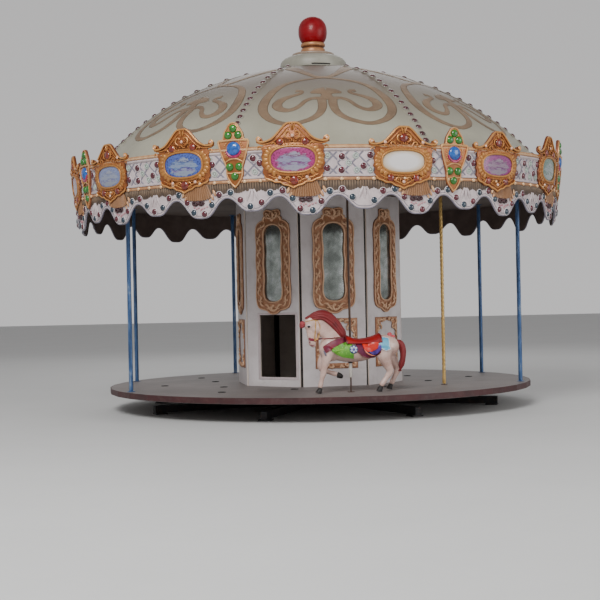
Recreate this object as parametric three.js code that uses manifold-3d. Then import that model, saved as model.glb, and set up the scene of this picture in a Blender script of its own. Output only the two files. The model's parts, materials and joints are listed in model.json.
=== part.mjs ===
// A fairground carousel with a domed canopy, one galloping horse and one bare horse pole.
// Millimetres, +Z up. The origin is on the turning axis at ground level and -Y is the front.
// Angles are in degrees about +Z from the front, positive towards +X.
import * as THREE from "three";
import { mergeVertices } from "three/addons/utils/BufferGeometryUtils.js";
import Module from "manifold-3d";

// Driving dimensions
const BAYS = 8;
const BAY = 360 / BAYS;
const ROUND_SIDES = 40;
const SMALL_SIDES = 24;
const ROD_SIDES = 12;
const GAP = 0.3; // left between pieces that touch
const OVERRUN = 10; // how far a cutter or a joined piece runs past a face

const deck = { radius: 3050, top: 330, plate: 20, sectors: 4, rimWide: 10, rimHigh: 75 };
const deckRib = { wide: 50, deep: 60, edgeWide: 60 };
const hub = { radius: 450, deep: 64.4 };
const pedestal = { radius: 300, flangeRadius: 380, flangeHigh: 30 };
const base = { ringRadius: 430, high: 120, beamWide: 80, reach: 2600, foot: 160, footHigh: 20 };

const ceiling = { bottom: 2985, thick: 20 };
const drum = { corner: 1230, turned: 4.5, panelThick: 25, seam: 37, postLeg: 45, postDeep: 40 };
const mirrorProud = 35;
const lowerFrame = { wide: 600, bottom: 575, high: 695, border: 50, proud: 15 };
const hatch = { fromLeft: 200, fromRight: 110, bottom: 460, top: 1330, panel: 7 };
const perimeterPost = { radius: 30, ring: 2930, angles: [67.5, 112.5, 157.5, -157.5, -112.5, -67.5] };

const board = { inside: 3420, foot: 3452, sill: 3462, face: 3500, sillHigh: 2960 };
const boardTop = { shoulder: 3320, top: 3365, flange: 20, flangeInside: 3180 };
const boardEdge = -2.05; // angle of the joint between two canopy boards, in a valley of the skirt
const pictureFrame = { back: 3430, thick: 95, offset: BAY / 4 };
const plaque = { back: 3430, thick: 110, offset: BAY / 2 };
const skirt = { thick: 16, valley: 2780, join: 2795, steps: 12 };
const smallScallop = { angle: 3.35, span: 10.8, drop: 166 };
const bigScallop = { angle: 14.6, span: 11.7, drop: 230 };

const dome = { radius: 4225, centre: 677, thick: 30, hole: 460, sections: 4, arcSteps: 6 };
const rib = { angle: 19.2, wide: 120, proud: 12 };
const cap = { radius: 487, tier: 312, groove: 5095, top: 5140 };
const neck = { radius: 180, waist: 158, waistAt: 5230, top: 5300 };
const finialTop = 5695;

const horsePlace = { ring: 2270, angle: 3.8 };
const barePlace = { ring: 2080, angle: 48.8 };
const guideRod = { radius: 11, footRadius: 45, footHigh: 8 };
const boreClear = 0.6; // radial running gap between a pole and its guide rod
const ceilingClear = 6; // radial gap where a pole passes the ceiling
const poleTop = 3300;
const barePole = { radius: 25, bottom: 345, rodTop: 900, boreTop: 1050 };
const horsePole = { tube: 22.5, rod: 15, bottom: 520, step: 760, rodTop: 1000, boreTop: 1150 };

// Colours of the finishes
const FINISHES = {
  darkSteel: { color: 0x2b2c2e, roughness: 0.7, metalness: 0.6 },
  deckPlate: { color: 0xa39c98, roughness: 0.6, metalness: 0.2 },
  deckRim: { color: 0x6d3238, roughness: 0.5, metalness: 0.1 },
  drumPanel: { color: 0xd8d2dc, roughness: 0.45, metalness: 0 },
  drumPost: { color: 0x1d1b1f, roughness: 0.6, metalness: 0.3 },
  ceiling: { color: 0x4a3a33, roughness: 0.8, metalness: 0 },
  canopyBoard: { color: 0xd9d3cf, roughness: 0.4, metalness: 0 },
  dome: { color: 0xbdb6a2, roughness: 0.5, metalness: 0 },
  finialCap: { color: 0xe4e2dc, roughness: 0.4, metalness: 0 },
  gold: { color: 0xb98a3c, roughness: 0.3, metalness: 0.9 },
  redBall: { color: 0xb3121a, roughness: 0.15, metalness: 0 },
  filmedSteel: { color: 0x5b8bc4, roughness: 0.3, metalness: 0.4 },
  rodSteel: { color: 0x4b3a30, roughness: 0.4, metalness: 0.8 },
  horse: { color: 0xe9dfd6, roughness: 0.3, metalness: 0 },
  saddle: { color: 0xb0242c, roughness: 0.35, metalness: 0 },
};

const wasm = await Module();
wasm.setup();
const carousel = new THREE.Group();
const radians = THREE.MathUtils.degToRad;

// Solids
function solid(geometry) {
  geometry.deleteAttribute("normal");
  geometry.deleteAttribute("uv");
  const merged = mergeVertices(geometry, 1e-3);
  return new wasm.Manifold(
    new wasm.Mesh({
      numProp: 3,
      vertProperties: new Float32Array(merged.attributes.position.array),
      triVerts: new Uint32Array(merged.index.array),
    }),
  );
}

function geometryOf(body) {
  const mesh = body.getMesh();
  return new THREE.BufferGeometry()
    .setAttribute("position", new THREE.BufferAttribute(new Float32Array(mesh.vertProperties), 3))
    .setIndex(new THREE.BufferAttribute(new Uint32Array(mesh.triVerts), 1));
}

const joined = (bodies) => bodies.reduce((whole, body) => whole.add(body));

function part(name, finish, body, angle = 0) {
  const mesh = new THREE.Mesh(geometryOf(body), new THREE.MeshStandardMaterial(FINISHES[finish]));
  mesh.name = name;
  mesh.rotation.z = radians(angle);
  carousel.add(mesh);
}

// Revolves [radius, height] pairs about the turning axis; the profile runs upwards on its outside.
function revolved(profile, sides = ROUND_SIDES) {
  const points = profile.map(([radius, height]) => new THREE.Vector2(radius, height));
  return solid(new THREE.LatheGeometry(points, sides).rotateX(Math.PI / 2));
}

// A ring whose section is the closed outline of [radius, height] pairs.
const ring = (outline, sides) => revolved([...outline, outline[0]], sides);

const tube = (inside, outside, low, high, sides) =>
  ring(
    [
      [inside, low],
      [outside, low],
      [outside, high],
      [inside, high],
    ],
    sides,
  );

const disc = (radius, low, high, sides) =>
  revolved(
    [
      [0, low],
      [radius, low],
      [radius, high],
      [0, high],
    ],
    sides,
  );

function block(xLow, xHigh, yLow, yHigh, zLow, zHigh) {
  const box = new THREE.BoxGeometry(xHigh - xLow, yHigh - yLow, zHigh - zLow);
  return solid(box.translate((xLow + xHigh) / 2, (yLow + yHigh) / 2, (zLow + zHigh) / 2));
}

// An upright prism over an outline of [x, y] pairs.
function prism(outline, low, high) {
  const shape = new THREE.Shape(outline.map(([x, y]) => new THREE.Vector2(x, y)));
  return solid(
    new THREE.ExtrudeGeometry(shape, { depth: high - low, bevelEnabled: false }).translate(0, 0, low),
  );
}

// A plate at the front, standing back millimetres from the axis, from a shape in X and Z.
const frontPlate = (shape, back, thick) =>
  solid(
    new THREE.ExtrudeGeometry(shape, { depth: thick, bevelEnabled: false, curveSegments: 6 })
      .rotateX(Math.PI / 2)
      .translate(0, -back, 0),
  );

const turned = (body, angle) => body.rotate([0, 0, angle]);

// The pie slice between two angles, with its sides set in by half the gap.
function slice(from, to) {
  const reach = 2 * board.face;
  const middle = radians((from + to) / 2);
  const half = radians((to - from) / 2);
  const apex = GAP / 2 / Math.sin(half);
  const at = (distance, angle) => [distance * Math.sin(angle), -distance * Math.cos(angle)];
  const start = at(apex, middle);
  const corner = (angle) => {
    const [x, y] = at(reach, angle);
    return [start[0] + x, start[1] + y];
  };
  return prism([start, corner(middle - half), corner(middle + half)], -OVERRUN, finialTop);
}

const mirrored = (half) => [
  ...half,
  ...half
    .filter(([x]) => x > 0)
    .reverse()
    .map(([x, z]) => [-x, z]),
];
const outlined = (points) => new THREE.Shape(points.map(([x, z]) => new THREE.Vector2(x, z)));

function rectangle(wide, low, high) {
  return outlined([
    [-wide / 2, low],
    [wide / 2, low],
    [wide / 2, high],
    [-wide / 2, high],
  ]);
}

// Base frame and pedestal, which stay still
const beams = Array.from({ length: BAYS }, (_, i) => {
  const half = base.beamWide / 2;
  const inner = pedestal.radius + OVERRUN;
  const beam = block(-half, half, -base.reach, -inner, base.footHigh, base.high);
  const foot = block(
    -base.foot / 2,
    base.foot / 2,
    -base.reach,
    base.foot - base.reach,
    0,
    base.footHigh + 1,
  );
  return turned(beam.add(foot), BAY * (i + 0.5));
});
part(
  "base_frame",
  "darkSteel",
  joined([tube(pedestal.radius + GAP, base.ringRadius, 0, base.high, SMALL_SIDES), ...beams]),
);

const plateBottom = deck.top - deck.plate;
const hubBottom = plateBottom - GAP - hub.deep;
const pedestalTop = hubBottom - GAP;
part(
  "centre_pedestal",
  "darkSteel",
  revolved(
    [
      [0, 0],
      [pedestal.radius, 0],
      [pedestal.radius, pedestalTop - 2 * pedestal.flangeHigh],
      [pedestal.flangeRadius, pedestalTop - pedestal.flangeHigh],
      [pedestal.flangeRadius, pedestalTop],
      [0, pedestalTop],
    ],
    SMALL_SIDES,
  ),
);

// Turntable hub, deck sectors and rim
part("turntable_hub", "darkSteel", disc(hub.radius, hubBottom, plateBottom - GAP, SMALL_SIDES));

const plateRadius = deck.radius - deck.rimWide - GAP;
const ribBottom = plateBottom - deckRib.deep;
const edgeInside = plateRadius - deckRib.edgeWide;
const deckRibs = Array.from({ length: 2 * BAYS }, (_, i) => {
  const half = deckRib.wide / 2;
  const reach = edgeInside + OVERRUN;
  return turned(block(-half, half, -reach, -hub.radius - OVERRUN, ribBottom, plateBottom + 1), (BAY / 2) * i);
});
const deckWhole = joined([
  disc(plateRadius, plateBottom, deck.top),
  tube(edgeInside, plateRadius, ribBottom, plateBottom + 1),
  ...deckRibs,
]);
const rimWhole = tube(plateRadius + GAP, deck.radius, deck.top - deck.rimHigh, deck.top);
for (let i = 0; i < deck.sectors; i++) {
  const sector = slice((360 / deck.sectors) * i, (360 / deck.sectors) * (i + 1));
  part(`deck_sector_${i + 1}`, "deckPlate", deckWhole.intersect(sector));
  part(`deck_rim_${i + 1}`, "deckRim", rimWhole.intersect(sector));
}

// Centre drum: eight panels on eight corner posts
const floor = deck.top + GAP;
const drumTop = ceiling.bottom - GAP;
const apothem = drum.corner * Math.cos(radians(BAY / 2));
const panelBack = apothem - drum.panelThick;
const panelHalf = drum.corner * Math.sin(radians(BAY / 2)) - drum.seam / 2;

// A crowned frame round a tall mirror with arched ends
const mirrorFrame = outlined(
  mirrored([
    [0, 2790],
    [140, 2790],
    [142, 2690],
    [225, 2640],
    [282, 2585],
    [300, 2500],
    [300, 1500],
    [262, 1430],
    [120, 1385],
    [0, 1335],
  ]).reverse(),
);
mirrorFrame.holes.push(
  outlined(
    mirrored([
      [0, 2585],
      [100, 2555],
      [148, 2450],
      [148, 1630],
      [100, 1540],
      [0, 1515],
    ]),
  ),
);

function drumPanel(hasHatch) {
  const sheet = frontPlate(rectangle(2 * panelHalf, floor, drumTop), panelBack, drum.panelThick);
  const tall = frontPlate(mirrorFrame, apothem - 1, mirrorProud + 1);
  if (hasHatch) {
    const doorway = block(
      hatch.fromLeft - panelHalf,
      panelHalf - hatch.fromRight,
      -apothem - OVERRUN,
      OVERRUN - panelBack,
      hatch.bottom,
      hatch.top,
    );
    return sheet.subtract(doorway).add(tall);
  }
  const square = rectangle(lowerFrame.wide, lowerFrame.bottom, lowerFrame.bottom + lowerFrame.high);
  const inside = rectangle(
    lowerFrame.wide - 2 * lowerFrame.border,
    lowerFrame.bottom + lowerFrame.border,
    lowerFrame.bottom + lowerFrame.high - lowerFrame.border,
  );
  square.holes.push(inside);
  return sheet.add(tall).add(frontPlate(square, apothem - 1, lowerFrame.proud + 1));
}

// A corner post lies against the backs of both panels; it is drawn at the front corner.
const postFace = panelBack - GAP;
const along = (distance, side) => {
  const tip = postFace / Math.cos(radians(BAY / 2));
  const slope = radians(BAY / 2);
  return [side * distance * Math.cos(slope), -tip + distance * Math.sin(slope)];
};
const postBack = along(drum.postLeg, 1)[1] + drum.postDeep;
const cornerPost = prism(
  [
    along(0, 1),
    along(drum.postLeg, 1),
    [drum.postLeg / 2, postBack],
    [-drum.postLeg / 2, postBack],
    along(drum.postLeg, -1),
  ],
  floor,
  drumTop,
);
for (let i = 0; i < BAYS; i++) {
  const angle = drum.turned + BAY * i;
  part(`drum_panel_${i + 1}`, "drumPanel", drumPanel(i === hatch.panel), angle);
  part(`drum_post_${i + 1}`, "drumPost", cornerPost, angle + BAY / 2);
}

// Ceiling, with a hole for each pole
const standingAt = (body, { ring: radius, angle }) => turned(body.translate([0, -radius, 0]), angle);
const poleHole = (radius, place) =>
  standingAt(
    disc(radius + ceilingClear, ceiling.bottom - OVERRUN, ceiling.bottom + 2 * ceiling.thick, ROD_SIDES),
    place,
  );
part(
  "ceiling",
  "ceiling",
  disc(board.inside - GAP, ceiling.bottom, ceiling.bottom + ceiling.thick)
    .subtract(poleHole(horsePole.rod, horsePlace))
    .subtract(poleHole(barePole.radius, barePlace)),
);

// Perimeter posts
perimeterPost.angles.forEach((angle, i) => {
  const post = disc(perimeterPost.radius, floor, drumTop, ROD_SIDES);
  part(`perimeter_post_${i + 1}`, "filmedSteel", post.translate([0, -perimeterPost.ring, 0]), angle);
});

// Canopy boards: cornice wall, scalloped skirt, picture frames and plaque in one moulding
const frameOutline = outlined(
  mirrored([
    [0, 3640],
    [90, 3605],
    [165, 3525],
    [260, 3435],
    [350, 3410],
    [425, 3425],
    [440, 3370],
    [350, 3335],
    [352, 3180],
    [300, 3035],
    [150, 2925],
    [70, 2865],
    [0, 2822],
  ]).reverse(),
);
const plaqueOutline = outlined(
  mirrored([
    [0, 3620],
    [100, 3600],
    [125, 3500],
    [190, 3370],
    [175, 3220],
    [112, 3050],
    [60, 2880],
    [0, 2785],
  ]).reverse(),
);
const wallWhole = ring([
  [board.inside, skirt.valley],
  [board.foot, skirt.valley],
  [board.sill, board.sillHigh],
  [board.face, boardTop.shoulder],
  [board.face, boardTop.top],
  [boardTop.flangeInside, boardTop.top],
  [boardTop.flangeInside, boardTop.top - boardTop.flange],
  [board.inside, boardTop.top - boardTop.flange],
]);
const skirtBottom = skirt.valley - bigScallop.drop - OVERRUN;
const skirtWhole = ring([
  [board.inside, skirtBottom],
  [board.inside + skirt.thick, skirtBottom],
  [board.foot, skirt.valley + 1],
  [board.inside, skirt.valley + 1],
]);

// A scallop hangs steeply between two round valleys and is broad at its foot.
function scallopPrism({ angle, span, drop }, start) {
  const halfWide = board.foot * Math.tan(radians(span / 2));
  const edge = Array.from({ length: skirt.steps + 1 }, (_, i) => {
    const t = i / skirt.steps;
    const swell = Math.sin(Math.PI * t) ** 2;
    return [halfWide * (2 * t - 1), skirt.valley - drop * (swell + swell ** 2 * (1 - swell))];
  });
  const shape = outlined([...edge, [halfWide, skirt.join], [-halfWide, skirt.join]]);
  const back = board.inside - 4 * OVERRUN;
  return turned(frontPlate(shape, back, board.face - back), start + angle);
}

for (let i = 0; i < BAYS; i++) {
  const start = BAY * i;
  const bay = slice(boardEdge + start, boardEdge + start + BAY);
  const scallops = joined([
    scallopPrism(smallScallop, start),
    scallopPrism(bigScallop, start),
    scallopPrism(smallScallop, start + BAY / 2),
    scallopPrism(bigScallop, start + BAY / 2),
  ]);
  const ornaments = [
    turned(frontPlate(frameOutline, pictureFrame.back, pictureFrame.thick), start + pictureFrame.offset),
    turned(frontPlate(plaqueOutline, plaque.back, plaque.thick), start + plaque.offset),
    turned(frontPlate(frameOutline, pictureFrame.back, pictureFrame.thick), start + BAY - pictureFrame.offset),
  ];
  const moulding = wallWhole.add(skirtWhole.intersect(scallops)).intersect(bay);
  part(`canopy_board_${i + 1}`, "canopyBoard", joined([moulding, ...ornaments]));
}

// Dome: quarter shells with raised ribs
const domeFoot = boardTop.top + GAP;
const heightAt = (sphere, radius) => dome.centre + Math.sqrt(sphere ** 2 - radius ** 2);
const radiusAt = (sphere, height) => Math.sqrt(sphere ** 2 - (height - dome.centre) ** 2);

function domeShell(outer) {
  const inner = dome.radius - dome.thick;
  const arc = (sphere) => {
    const from = Math.asin(dome.hole / sphere);
    const to = Math.acos((domeFoot - dome.centre) / sphere);
    return Array.from({ length: dome.arcSteps + 1 }, (_, i) => {
      const t = from + ((to - from) * i) / dome.arcSteps;
      return [sphere * Math.sin(t), dome.centre + sphere * Math.cos(t)];
    });
  };
  return ring([...arc(inner), ...arc(outer).reverse()]);
}

const ribShell = domeShell(dome.radius + rib.proud);
const ribs = Array.from({ length: BAYS }, (_, i) => {
  const reach = radiusAt(dome.radius + rib.proud, domeFoot) + OVERRUN;
  const slab = block(-rib.wide / 2, rib.wide / 2, -reach, -dome.hole / 2, domeFoot - 1, finialTop);
  return ribShell.intersect(turned(slab, rib.angle + BAY * i));
});
const domeWhole = joined([domeShell(dome.radius), ...ribs]);
for (let i = 0; i < dome.sections; i++) {
  const turn = 360 / dome.sections;
  part(
    `dome_section_${i + 1}`,
    "dome",
    domeWhole.intersect(slice(rib.angle + turn * i, rib.angle + turn * (i + 1))),
  );
}

// Finial: a domed cap with a thin top tier, a ringed neck and a ball that narrows to its foot
const capFoot = heightAt(dome.radius + rib.proud, dome.hole) + GAP;
part(
  "finial_cap",
  "finialCap",
  revolved(
    [
      [0, capFoot],
      [cap.radius, capFoot],
      [cap.radius, capFoot + 40],
      [460, 4974],
      [413, 5023],
      [347, 5072],
      [cap.tier - 6, cap.groove],
      [cap.tier, cap.groove + 12],
      [cap.tier, cap.top - 6],
      [cap.tier - 14, cap.top],
      [0, cap.top],
    ],
    SMALL_SIDES,
  ),
);
part(
  "finial_neck",
  "gold",
  revolved(
    [
      [0, cap.top + GAP],
      [neck.radius, cap.top + GAP],
      [neck.radius, neck.waistAt - 12],
      [neck.waist, neck.waistAt],
      [neck.radius, neck.waistAt + 12],
      [neck.radius, neck.top],
      [0, neck.top],
    ],
    SMALL_SIDES,
  ),
);
part(
  "finial_ball",
  "redBall",
  revolved(
    [
      [0, neck.top + GAP],
      [165, neck.top + GAP],
      [187, 5350],
      [199, 5420],
      [200, 5475],
      [192, 5540],
      [164, 5607],
      [120, 5655],
      [64, 5685],
      [0, finialTop],
    ],
    SMALL_SIDES,
  ),
);

// Guide rods on the deck and the poles that slide over them
function rodOnDeck(top) {
  return revolved(
    [
      [0, floor],
      [guideRod.footRadius, floor],
      [guideRod.footRadius, floor + guideRod.footHigh],
      [guideRod.radius, floor + guideRod.footHigh],
      [guideRod.radius, top],
      [0, top],
    ],
    ROD_SIDES,
  );
}
part("horse_guide_rod", "rodSteel", standingAt(rodOnDeck(horsePole.rodTop), horsePlace));
part("bare_guide_rod", "rodSteel", standingAt(rodOnDeck(barePole.rodTop), barePlace));

const bore = guideRod.radius + boreClear;
const barePoleBody = revolved(
  [
    [0, barePole.boreTop],
    [bore, barePole.boreTop],
    [bore, barePole.bottom],
    [barePole.radius, barePole.bottom],
    [barePole.radius, poleTop],
    [0, poleTop],
  ],
  ROD_SIDES,
);
part("bare_pole", "gold", standingAt(barePoleBody, barePlace));

const horsePoleBody = revolved(
  [
    [0, horsePole.boreTop],
    [bore, horsePole.boreTop],
    [bore, horsePole.bottom],
    [horsePole.tube, horsePole.bottom],
    [horsePole.tube, horsePole.step],
    [horsePole.rod, horsePole.step],
    [horsePole.rod, poleTop],
    [0, poleTop],
  ],
  ROD_SIDES,
);
part("horse_pole", "rodSteel", standingAt(horsePoleBody, horsePlace));

// Horse, drawn with its pole on the Z axis and its head towards -X
function ellipsoid([x, z], [halfLong, halfWide, halfHigh], grow = 0) {
  const sphere = new THREE.SphereGeometry(1, 12, 8);
  return solid(sphere.scale(halfLong + grow, halfWide + grow, halfHigh + grow).translate(x, 0, z));
}
const trunk = (grow) =>
  joined([
    ellipsoid([-225, 870], [200, 125, 165], grow),
    ellipsoid([70, 855], [360, 150, 140], grow),
    ellipsoid([400, 880], [225, 145, 160], grow),
  ]);

// A tapered round limb along [x, y, z, radius] points.
function limb(points) {
  const pieces = points.slice(1).map(([x, y, z, radius], i) => {
    const from = new THREE.Vector3(...points[i].slice(0, 3));
    const to = new THREE.Vector3(x, y, z);
    const bone = new THREE.CylinderGeometry(radius, points[i][3], from.distanceTo(to), 6);
    const turn = new THREE.Quaternion().setFromUnitVectors(
      new THREE.Vector3(0, 1, 0),
      to.clone().sub(from).normalize(),
    );
    const middle = from.add(to).multiplyScalar(0.5);
    return solid(bone.applyQuaternion(turn).translate(middle.x, middle.y, middle.z));
  });
  const joints = points.slice(1, -1).map(([x, y, z, radius]) => {
    return solid(new THREE.SphereGeometry(radius, 6, 4).translate(x, y, z));
  });
  return joined([...pieces, ...joints]);
}

const sideSlab = (outline, thick) =>
  solid(
    new THREE.ExtrudeGeometry(outlined(outline), { depth: thick, bevelEnabled: false })
      .rotateX(Math.PI / 2)
      .translate(0, thick / 2, 0),
  );
const neckSlab = sideSlab(
  [
    [-390, 860],
    [-130, 860],
    [-60, 1000],
    [-110, 1130],
    [-190, 1270],
    [-290, 1365],
    [-400, 1375],
    [-480, 1300],
    [-450, 1170],
    [-420, 1050],
  ],
  120,
);
const headSlab = sideSlab(
  [
    [-500, 960],
    [-450, 1030],
    [-440, 1170],
    [-400, 1290],
    [-450, 1360],
    [-560, 1330],
    [-605, 1240],
    [-585, 1080],
    [-560, 975],
  ],
  100,
);
const nearFront = limb([
  [-290, -85, 850, 75],
  [-350, -85, 620, 42],
  [-395, -85, 420, 30],
  [-405, -85, 345, 46],
]);
const farFront = limb([
  [-270, 85, 850, 75],
  [-330, 85, 625, 42],
  [-200, 85, 560, 30],
  [-141, 85, 548, 44],
]);
const nearRear = limb([
  [420, -90, 860, 90],
  [465, -90, 610, 45],
  [390, -90, 430, 30],
  [378, -90, 352, 46],
]);
const farRear = limb([
  [440, 90, 860, 90],
  [590, 90, 620, 45],
  [540, 90, 450, 30],
  [527, 90, 368, 46],
]);
const tail = limb([
  [570, 0, 960, 45],
  [660, 0, 900, 50],
  [680, 0, 740, 45],
  [640, 0, 610, 20],
]);
const poleClear = (z, radius) => disc(radius + GAP, z, poleTop, ROD_SIDES);
const poleSpace = poleClear(horsePole.step, horsePole.rod).add(
  disc(horsePole.tube + GAP, horsePole.bottom, horsePole.step + GAP, ROD_SIDES),
);
const horseWhole = joined([trunk(0), neckSlab, headSlab, nearFront, farFront, nearRear, farRear, tail]);
part("horse_body", "horse", standingAt(horseWhole.subtract(poleSpace), horsePlace));

const saddleGap = 0.5;
const saddleThick = 24;
const saddle = trunk(saddleThick)
  .subtract(trunk(saddleGap))
  .subtract(sideSlab([[-460, 700], [-50, 700], [-50, 1200], [-460, 1200]], 400))
  .intersect(block(-45, 330, -200, 200, 800, 1200))
  .subtract(poleSpace);
part("horse_saddle", "saddle", standingAt(saddle, horsePlace));

export default carousel;
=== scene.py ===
# A fairground carousel with a domed canopy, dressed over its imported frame.
# Metres, +Z up. The origin is on the turning axis at ground level and -Y is the front.
# Angles are in degrees about +Z from the front, positive towards +X.
import json
import random
from math import acos, asin, atan2, copysign, cos, degrees, dist, hypot, pi, radians, sin

import bpy
from mathutils import Matrix, Vector


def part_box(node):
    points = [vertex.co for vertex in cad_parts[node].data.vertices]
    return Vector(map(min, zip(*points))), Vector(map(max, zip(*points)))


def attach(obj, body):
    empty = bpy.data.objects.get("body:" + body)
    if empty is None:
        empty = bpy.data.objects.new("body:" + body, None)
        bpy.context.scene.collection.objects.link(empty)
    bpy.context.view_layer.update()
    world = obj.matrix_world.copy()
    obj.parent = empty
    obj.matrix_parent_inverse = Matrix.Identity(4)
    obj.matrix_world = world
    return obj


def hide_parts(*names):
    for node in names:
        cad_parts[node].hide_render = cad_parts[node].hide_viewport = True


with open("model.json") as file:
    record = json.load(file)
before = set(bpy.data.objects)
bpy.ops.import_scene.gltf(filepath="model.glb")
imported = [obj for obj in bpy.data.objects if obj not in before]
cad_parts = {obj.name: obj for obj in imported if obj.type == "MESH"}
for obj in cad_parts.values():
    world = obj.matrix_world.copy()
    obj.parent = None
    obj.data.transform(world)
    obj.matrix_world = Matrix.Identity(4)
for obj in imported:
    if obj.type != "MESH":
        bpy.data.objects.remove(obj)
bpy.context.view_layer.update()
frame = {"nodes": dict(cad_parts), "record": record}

BAYS = 8
BAY = 360 / BAYS
FLAT_RADIUS = 3.5  # the canopy ornament is laid out flat at this radius and then wrapped
SKIRT_FLAT = 3.45  # the same for the skirt
# Heights and radii of the canopy's wall
WALL_FACE = ((2.48, 3.436), (2.775, 3.452), (2.96, 3.462), (3.32, 3.5), (3.8, 3.5))
# Angles in the first bay, from the front
BAY_START = -2.05  # the joint between two canopy boards
FRAME_ANGLES = (11.25, 34.3)
PLAQUE_ANGLE = 22.5
PLAQUE_LIFT = (0.0, 0.08)  # the plaque of every other bay sits higher, with its taller frames

DOME_RADIUS, DOME_CENTRE = 4.225, 0.677
DOME_WALL = 0.03
DOME_FOOT, DOME_HOLE = 3.3653, 0.46  # height of its lower edge, radius of the opening under the cap
RIB_ANGLE, SCROLL_ANGLE = 19.2, -2.6  # of the first rib, of the first sector's scrollwork

DRUM_FACE = 1.1364  # distance of a panel's front from the axis
DRUM_TURN, HATCH_PANEL = 4.5, 7  # angle of the first panel; the open one, counted from 0

# Distance from the axis and angle
HORSE_PLACE = (2.27, 3.8)
POLE_PLACE = (2.08, 48.8)
INNER_SEAT = (1.6, 26.3)


# ---- modelling
def linked(name, data):
    piece = bpy.data.objects.new(name, data)
    bpy.context.collection.objects.link(piece)
    return piece


def rotation(angle, axis):
    return Matrix.Rotation(radians(angle), 4, axis)


def deselected():
    bpy.ops.object.select_all(action="DESELECT")


def picked(piece):
    deselected()
    piece.select_set(True)
    bpy.context.view_layer.objects.active = piece
    return piece


def named(name):
    piece = bpy.context.object
    piece.name = piece.data.name = name
    return piece


def settled(name):
    """Names a new primitive and moves its place, turn and size into its mesh."""
    piece = picked(named(name))
    bpy.ops.object.transform_apply(location=True, rotation=True, scale=True)
    return piece


def modified(piece, kind, **settings):
    picked(piece)
    modifier = piece.modifiers.new(kind, kind)
    for key, value in settings.items():
        setattr(modifier, key, value)
    bpy.ops.object.modifier_apply(modifier=modifier.name)
    return piece


def opened(piece, kind="FACE", chosen=None):
    """Opens a piece in edit mode with some of its vertices, edges or faces selected."""
    picked(piece)
    mesh = piece.data
    groups = {"VERT": mesh.vertices, "EDGE": mesh.edges, "FACE": mesh.polygons}
    for group in groups.values():
        group.foreach_set("select", [False] * len(group))
    group = groups[kind]
    group.foreach_set("select", [chosen is None or bool(chosen(item)) for item in group])
    bpy.context.tool_settings.mesh_select_mode = tuple(kind == name for name in groups)
    bpy.ops.object.mode_set(mode="EDIT")


def closed():
    bpy.ops.object.mode_set(mode="OBJECT")


def repainted(piece, slot, chosen):
    """Gives some faces another of the piece's paints."""
    opened(piece, "FACE", chosen)
    piece.active_material_index = slot
    bpy.ops.object.material_slot_assign()
    closed()
    return piece


def cleaned(piece):
    """Merges doubled points and turns every face outwards."""
    opened(piece)
    bpy.ops.mesh.remove_doubles(threshold=1e-5)
    bpy.ops.mesh.select_all(action="SELECT")
    bpy.ops.mesh.normals_make_consistent(inside=False)
    closed()
    return piece


def smoothed(piece, angle=35):
    picked(piece)
    bpy.ops.object.shade_smooth_by_angle(angle=radians(angle))
    return piece


def drawn(name, lines, closed_line=False, curved=True, **settings):
    """Draws lines through points and turns them into a mesh; a fourth number is the thickness there."""
    data = bpy.data.curves.new(name, "CURVE")
    data.dimensions = "3D"
    for points in lines:
        spline = data.splines.new("BEZIER" if curved else "POLY")
        knots = spline.bezier_points if curved else spline.points
        knots.add(len(points) - 1)
        for knot, point in zip(knots, points):
            place = Vector(point[:3]).to_3d()
            knot.co = place if curved else (*place, 1)
            knot.radius = point[3] if len(point) > 3 else 1
            if curved:
                knot.handle_left_type = knot.handle_right_type = "AUTO"
        spline.use_cyclic_u = closed_line
    for key, value in settings.items():
        setattr(data, key, value)
    picked(linked(name, data))
    bpy.ops.object.convert(target="MESH")
    return named(name)


def rods(name, lines, sides, steps, closed_line=False):
    """Round rods along lines of (x, y, z, radius)."""
    rod = drawn(name, lines, closed_line, resolution_u=steps, bevel_depth=1.0,
                bevel_resolution=(sides - 4) // 2, use_fill_caps=True)
    return smoothed(rod, 50)


def plate(name, outlines, back, front, bevel):
    """An upright plate with soft edges, drawn in X and Z; the first outline is the outside."""
    flat = [[(x, z, 0) for x, z in outline] for outline in outlines]
    half_thick = (back - front) / 2 - bevel
    piece = drawn(name, flat, True, False, dimensions="2D", fill_mode="BOTH", extrude=half_thick,
                  bevel_depth=bevel, bevel_resolution=1, offset=-bevel)
    upright = rotation(90, "X")
    piece.data.transform(Matrix.Translation((0, (back + front) / 2, 0)) @ upright)
    return smoothed(cleaned(piece), 40)


def lathe(name, profile, steps):
    """Spins (radius, height) points about the turning axis."""
    piece = drawn(name, [[(0, -radius, height) for radius, height in profile]], curved=False)
    opened(piece, "EDGE")
    bpy.ops.mesh.spin(steps=steps, angle=2 * pi, center=(0, 0, 0), axis=(0, 0, 1))
    closed()
    return smoothed(cleaned(piece))


def repeated(name, model, places):
    """Copies a small modelled shape to each place, as one mesh with the shape's own paint."""
    points = [vertex.co.copy() for vertex in model.data.vertices]
    faces = [list(face.vertices) for face in model.data.polygons]
    mesh = bpy.data.meshes.new(name)
    mesh.from_pydata(
        [place @ point for place in places for point in points],
        [],
        [[n * len(points) + i for i in face] for n in range(len(places)) for face in faces],
    )
    for paint in model.data.materials:
        mesh.materials.append(paint)
    slots = [face.material_index for face in model.data.polygons]
    mesh.polygons.foreach_set("material_index", slots * len(places))
    mesh.polygons.foreach_set("use_smooth", [True] * len(mesh.polygons))
    return linked(name, mesh)


def joined(name, pieces):
    picked(pieces[0])
    for piece in pieces[1:]:
        piece.select_set(True)
    bpy.ops.object.join()
    return named(name)


def discarded(*pieces):
    for piece in pieces:
        bpy.data.objects.remove(piece)


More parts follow.
